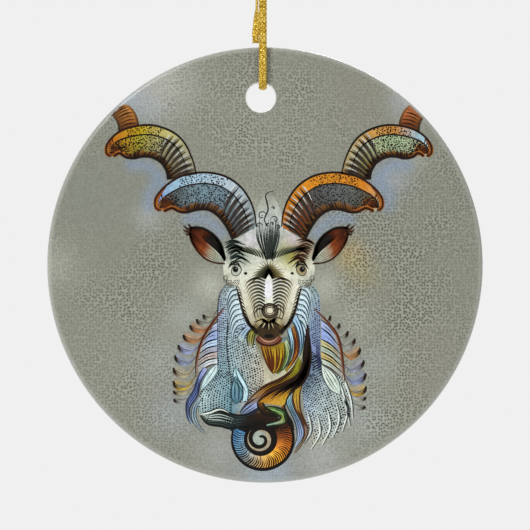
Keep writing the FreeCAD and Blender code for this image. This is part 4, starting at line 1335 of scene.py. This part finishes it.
ring_out, ring_in = arc_about(CURL, 5.15, 160, 395), arc_about(CURL, 2.45, 160, 395)
washes.wash(
    ring_out, ring_in,
    ["#4A86B8", "#5E98C4", "#6E98B0", "#A49A7C", "#E09A3A", "#F0A81C", "#E0801A", "#B85A18", "#3A1C0C"],
    ["#4E84AC", "#8CB4C8", "#B4CCD0", "#C4B89C", "#F0C46A", "#F0B440", "#E08A34", "#7A4420", "#140A06"],
    layer=3.0, across=16,
)
top_out, top_in = arc_about(CURL, 4.4, 395, 520), arc_about(CURL, 2.45, 395, 520)
washes.wash(top_out, top_in, ["#1C0E08", "#3A2010", "#241A10", "#1A2028"], ["#0E0906"], layer=2.95)
for turn in np.arange(160, 398, 5.2):
    reach = np.linspace(5.1, rng.uniform(2.6, 3.4), 14)
    bow = np.radians(turn + 7 * np.sin((5.1 - reach) / 2.6 * math.pi))
    tone = "#16263A" if turn < 215 else "#2A1206"
    lines.stroke(around(CURL, bow, reach), rng.uniform(0.16, 0.3), tone, start=0.9, end=0.1, layer=3.4)
lines.stroke(arc_about(CURL, 5.15, 155, 400, 90), 0.55, "#100A06", 0.4, 0.8, layer=3.5)
for reach in np.arange(2.9, 4.9, 0.42):
    centres = arc_about(CURL, reach, 165, 225, int(reach * 3))
    lines.dots(centres, 0.09, "#0E1C2C", layer=3.45)
heart = CURL - (0.35, 0.1)
washes.blot(heart, 2.4, 2.4, "#A89C80", layer=3.1, corners=48)
washes.blot(heart + (-0.3, 0.1), 1.35, 1.25, "#A4B0A4", layer=3.15, corners=36)
turn = np.linspace(math.radians(200), math.radians(200 + 360 * 1.75), 120)
reach = np.interp(turn, [turn[0], turn[60], turn[-1]], [2.5, 1.75, 0.35])
lines.stroke(around(heart, turn, reach), 0.75, "#120C08", start=0.9, end=0.5, layer=3.6)
lines.stroke(arc_about(heart, 2.5, 0, 360, 70), 0.62, "#120A06", start=1.0, end=1.0, layer=3.55)
washes.piece("locks_wash", wash_ink)
lines.piece("locks_lines", line_ink)

# %% [markdown]
# ## The gilt cord
#
# The cord is a flat tubular braid of metallised yarn, six ends running each way. It is plaited on a
# small braiding machine, cut to length, passed through the hole, knotted behind the tile and left
# with two short ends. Real strands matter here, because the eye reads the small bright and dark
# diamonds where they cross. Each strand winds round the cord's line, and its distance from the
# line swings in and out so that it passes over one neighbour and under the next. The yarn is half
# metal and half fibre: a gold base, 0.4 metallic, with a roughness near 0.35 and a fine sparkle.
# Its foil flecks are drawn about 0.35 mm apart, coarser than real ones, so that they show, and
# the palest of them are painted highlights as well as foil.

# %% Gilt yarn material


def yarn_material(name, tones, metallic, roughness):
    """Metallised yarn: a fine noise sprinkles its three tones along it as flecks of metal; in the gilt yarn
    the palest flecks are painted highlights as well.
    """
    material, tree, shader = new_material(name, Roughness=roughness, Metallic=metallic)
    coordinates = add_node(tree, "ShaderNodeTexCoord")
    sparkle = add_node(
        tree, "ShaderNodeTexNoise", values={"Scale": spread(0.35), "Detail": 3.0, "Roughness": 0.75},
        links={"Vector": coordinates.outputs["Object"]},
    )
    # The palest tone is partly a painted highlight, sprinkled on as flecks.
    foil_and_painted_sparkle = add_node(tree, "ShaderNodeValToRGB", links={"Fac": sparkle.outputs["Fac"]})
    foil_and_painted_sparkle.color_ramp.elements[0].position = 0.3
    foil_and_painted_sparkle.color_ramp.elements[1].position = 0.68
    foil_and_painted_sparkle.color_ramp.elements.new(0.48)
    for element, tone in zip(foil_and_painted_sparkle.color_ramp.elements, tones):
        element.color = rgba(tone)
    tree.links.new(foil_and_painted_sparkle.outputs["Color"], shader.inputs["Base Color"])
    return material


# The gilt yarn's palest tone, #FFEE88, is partly foil and partly painted highlight.
gilt_yarn = yarn_material("gilt_braiding_yarn", ["#6E5208", "#D2A81E", "#FFEE88"], 0.4, 0.34)
# The core's dark tones are painted shade: the core shows only in the gaps between the ends.
painted_shade_core = yarn_material("braid_core_painted_shade", ["#2A1C04", "#4A3208", "#6E4E10"], 0.1, 0.7)

# %% Braid


def frames_along(line, twist):
    """Unit vectors along a line: its heading, and two sides that don't spin except by twist."""
    heading = np.gradient(line, axis=0)
    heading /= np.linalg.norm(heading, axis=1, keepdims=True)
    side = np.zeros_like(line)
    side[0] = np.cross(np.cross(heading[0], (1.0, 0.0, 0.0)), heading[0])
    side[0] /= np.linalg.norm(side[0])
    for step in range(1, len(line)):
        carried = side[step - 1] - heading[step] * (side[step - 1] @ heading[step])
        side[step] = carried / np.linalg.norm(carried)
    other = np.cross(heading, side)
    turn = np.broadcast_to(twist, len(line))[:, None]
    return heading, side * np.cos(turn) + other * np.sin(turn), other * np.cos(turn) - side * np.sin(turn)


def blended(side, other, side_share, other_share):
    """Two directions added at each point of a line, each times its own share there."""
    return side * side_share[:, None] + other * other_share[:, None]


def tube(line, across, outward, half_width, half_height, sides=6):
    """Corner points and faces of a closed tube with an oval section."""
    angles = np.linspace(0, 2 * math.pi, sides, endpoint=False)
    oval = around((0, 0), angles, half_width, half_height)
    points = line[:, None] + across[:, None] * oval[:, :1] + outward[:, None] * oval[:, 1:]
    last = (len(line) - 1) * sides
    caps = [tuple(range(sides))[::-1], tuple(last + column for column in range(sides))]
    return points.reshape(-1, 3), grid_faces(len(line), sides, closed=True) + caps


def yarn_piece(name, tubes):
    """One piece from a list of (points, faces, material index)."""
    points, faces, finishes = [], [], []
    count = 0
    for tube_points, tube_faces, finish in tubes:
        points.append(tube_points)
        faces.extend(tuple(count + corner for corner in face) for face in tube_faces)
        finishes.extend([finish] * len(tube_faces))
        count += len(tube_points)
    piece = mesh_piece(name, np.concatenate(points), faces, gilt_yarn, painted_shade_core)
    piece.data.polygons.foreach_set("material_index", finishes)
    piece.data.shade_smooth()
    print(f"{name}: {len(faces)} faces")
    return piece


ENDS_EACH_WAY = 6
PLAIT_PITCH = 4.2 * MM
END_WIDTH, END_THICK = 0.37 * MM, 0.22 * MM


def braid(line, width, thick, twist=0.0):
    """The tubes of a braid along a line: ends that wind both ways over and under, and a dark core that is
    painted shade between them.
    """
    _, side, other = frames_along(line, twist)
    along = lengths_along(line)
    inset = END_THICK * 0.9
    reach_side, reach_other = width / 2 - inset, thick / 2 - inset
    # The core tube is dark as painted shade, seen only between the ends.
    tubes = [tube(line, side, other, reach_side, reach_other, 10) + (1,)]
    for way in (1, -1):
        for end in range(ENDS_EACH_WAY):
            angle = way * 2 * math.pi * along / PLAIT_PITCH + 2 * math.pi * end / ENDS_EACH_WAY
            swing = way * 0.5 * END_THICK * np.cos(ENDS_EACH_WAY * angle)
            cosine, sine = np.cos(angle), np.sin(angle)
            path = line + blended(side, other, (reach_side + swing) * cosine, (reach_other + swing) * sine)
            outward = blended(side, other, cosine / reach_side, sine / reach_other)
            outward /= np.linalg.norm(outward, axis=1, keepdims=True)
            run = np.gradient(path, axis=0)
            across = np.cross(run, outward)
            across /= np.linalg.norm(across, axis=1, keepdims=True) + 1e-12
            tubes.append(tube(path, across, outward, END_WIDTH / 2, END_THICK / 2) + (0,))
    return tubes


def loose_ends(foot, spread_width, spread_depth, drop, count):
    """Frayed filaments that leave a point and fan out, some curling."""
    tubes = []
    for _ in range(count):
        lean = rng.uniform(-1, 1)
        depth = rng.uniform(-1, 1)
        start = np.array([lean * spread_width * 0.85, depth * spread_depth * 0.8, 0.0])
        stop = np.array([lean * spread_width, depth * spread_depth, 0.0]) * rng.uniform(0.8, 1.2)
        reach = rng.uniform(0.7, 1.0)
        share = np.linspace(0, 1, 10)[:, None]
        curl = np.sin(share * math.pi) * rng.normal(0, 0.06 * MM, 3)
        line = np.array(foot) + start * (1 - share) + stop * share**1.5 + curl
        line = line + np.array(drop) * share * reach
        _, side, other = frames_along(line, 0.0)
        thin = rng.uniform(0.04, 0.07) * MM
        tubes.append(tube(line, side, other, thin, thin, 5) + (0,))
    return tubes


# %% The loop
braid_line = spaced(loop_line, 0.2 * MM)
loop = yarn_piece("braided_loop", braid(braid_line, CORD_WIDTH, CORD_THICK))
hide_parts("cord_top_bend", "cord_main_run", "cord_back_run")
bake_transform(loop)

# %% The knot and its two tails
# The overhand knot is drawn as a wound coil of braid, which has the same few bends on its outside.
knot_middle = (knot_low + knot_high) / 2
CORD_HALF = 0.6 * MM
KNOT_TURNS = 2.6
KNOT_REACH = 1.2 * MM
share = np.linspace(0, 1, 120)
wind = 2 * math.pi * KNOT_TURNS * share
reach = KNOT_REACH * np.clip(np.minimum(share, 1 - share) * 7, 0.25, 1)
level = KNOT_TOP - CORD_HALF - share * (KNOT_TOP - KNOT_FOOT - 2 * CORD_HALF)
knot_x, knot_y = knot_middle[0] + reach * np.cos(wind), knot_middle[1] - reach * np.sin(wind)
knot_line = np.stack([knot_x, knot_y, level + 0.3 * MM * np.sin(wind + 0.6)], axis=1)
knot = yarn_piece("knotted_braid", braid(spaced(knot_line, 0.2 * MM), 1.25 * MM, 1.1 * MM))
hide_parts("cord_knot")
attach(knot, "cord")

tail_low, tail_high = box_corners("cord_long_tail")
tail_middle = (tail_low + tail_high) / 2
FRAY = 1.3 * MM
long_line = np.linspace(
    (tail_middle[0] + 0.25 * MM, tail_middle[1], tail_high[2] + 0.8 * MM),
    (tail_middle[0], tail_middle[1], tail_low[2] + FRAY * 0.8), 50,
)
long_line[:, 0] += 0.12 * MM * np.sin(np.linspace(0, 3.0, 50))
opening = math.pi / 2 * (1 - np.clip(np.linspace(-0.9, 1.0, 50), 0, 1) ** 0.6)
long_tubes = braid(long_line, 1.15 * MM, 0.5 * MM, twist=opening)
long_tubes += loose_ends(long_line[-1], 0.55 * MM, 0.22 * MM, (0.0, 0.0, -FRAY * 0.8), 60)
long_tail = yarn_piece("frayed_long_tail", long_tubes)
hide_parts("cord_long_tail")
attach(long_tail, "cord")

short_low, short_high = box_corners("cord_short_tail")
FOLD = 1.2 * MM
top_line = short_high[2] - CORD_HALF
root = short_high[0] - CORD_HALF
fold = [
    (root - FOLD + FOLD * math.cos(bend), CORD_OFFSET, top_line - FOLD + FOLD * math.sin(bend))
    for bend in quarter(9)
]
short_line = np.array([(root, CORD_OFFSET, short_low[2] - CORD_HALF), *fold])
short_line = np.vstack([short_line, (short_low[0] + FRAY * 0.6, CORD_OFFSET, top_line)])
short_line = spaced(short_line, 0.2 * MM)
short_tubes = braid(short_line, 1.15 * MM, 0.8 * MM)
for filaments in loose_ends((0.0, 0.0, 0.0), 0.5 * MM, 0.35 * MM, (0.0, 0.0, -FRAY * 0.6), 36):
    points, faces, finish = filaments
    turned = np.stack([points[:, 2], points[:, 1], points[:, 0]], axis=1) + short_line[-1]
    short_tubes.append((turned, faces, finish))
short_tail = yarn_piece("frayed_short_tail", short_tubes)
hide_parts("cord_short_tail")
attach(short_tail, "cord")

# %% [markdown]
# ## The studio
#
# The ornament hangs in front of a plain pale sweep of paper, evenly lit to one light grey. A soft
# key light stands high on the left, which puts the cord's soft shadow just to its right and one
# highlight along the rounded rim. A wide fill light on the right keeps the shadows open. The air
# looks as pale as the paper to the camera, but lights the object less, so that dark inks stay dark.

# %% Paper sweep


def paper_sweep(floor, corner, radius):
    """A floor that curves up into a wall, so that no line shows behind the object."""
    rows = [(-0.25, floor), (corner, floor)]
    for angle in quarter(12)[1:]:
        rows.append((corner + radius * math.sin(angle), floor + radius - radius * math.cos(angle)))
    rows.append((corner + radius, floor + 2.0))
    points = [(x, y, z) for y, z in rows for x in (-1.5, 1.5)]
    made = mesh_piece("paper_sweep", points, grid_faces(len(rows), 2), paper)
    made.data.shade_smooth()
    return made


PAPER_TONE = "#F0F0F0"
paper, tree, shader = new_material(
    "evenly_lit_studio_paper", Base_Color=(0.0, 0.0, 0.0, 1.0), Roughness=1.0, Specular_IOR_Level=0.0,
    Emission_Color=rgba(PAPER_TONE), Emission_Strength=1.0,
)
sweep = paper_sweep(DISC_HEIGHT - 0.09, 1.8, 0.4)

# %% Lights and air


def soft_light(name, place, size, watts):
    """A round area light that faces the middle of the tile."""
    data = bpy.data.lights.new(name, "AREA")
    data.shape = "DISK"
    data.size = size
    data.energy = watts
    made = bpy.data.objects.new(name, data)
    bpy.context.scene.collection.objects.link(made)
    made.location = place
    aim = Vector((0.0, 0.0, DISC_HEIGHT)) - Vector(place)
    made.rotation_euler = aim.to_track_quat("-Z", "Y").to_euler()


soft_light("key_softbox", (-0.55, -0.75, DISC_HEIGHT + 0.65), 0.34, 8.2)
soft_light("fill_softbox", (0.8, -0.8, DISC_HEIGHT + 0.15), 0.8, 2.6)
soft_light("back_softbox", (0.3, 0.75, DISC_HEIGHT + 0.75), 0.5, 6.0)

world = bpy.data.worlds.new("studio_air")
world.use_nodes = True
bpy.context.scene.world = world
air = world.node_tree.nodes["Background"]
air.inputs["Color"].default_value = rgba(PAPER_TONE)
sight = add_node(world.node_tree, "ShaderNodeLightPath")
air_strength = add_node(
    world.node_tree, "ShaderNodeMapRange", values={"To Min": 0.28, "To Max": 1.0},
    links={"Value": sight.outputs["Is Camera Ray"]},
)
world.node_tree.links.new(air_strength.outputs["Result"], air.inputs["Strength"])
bpy.context.scene.view_settings.view_transform = "Standard"
print("studio: paper sweep, three soft lights, pale air")
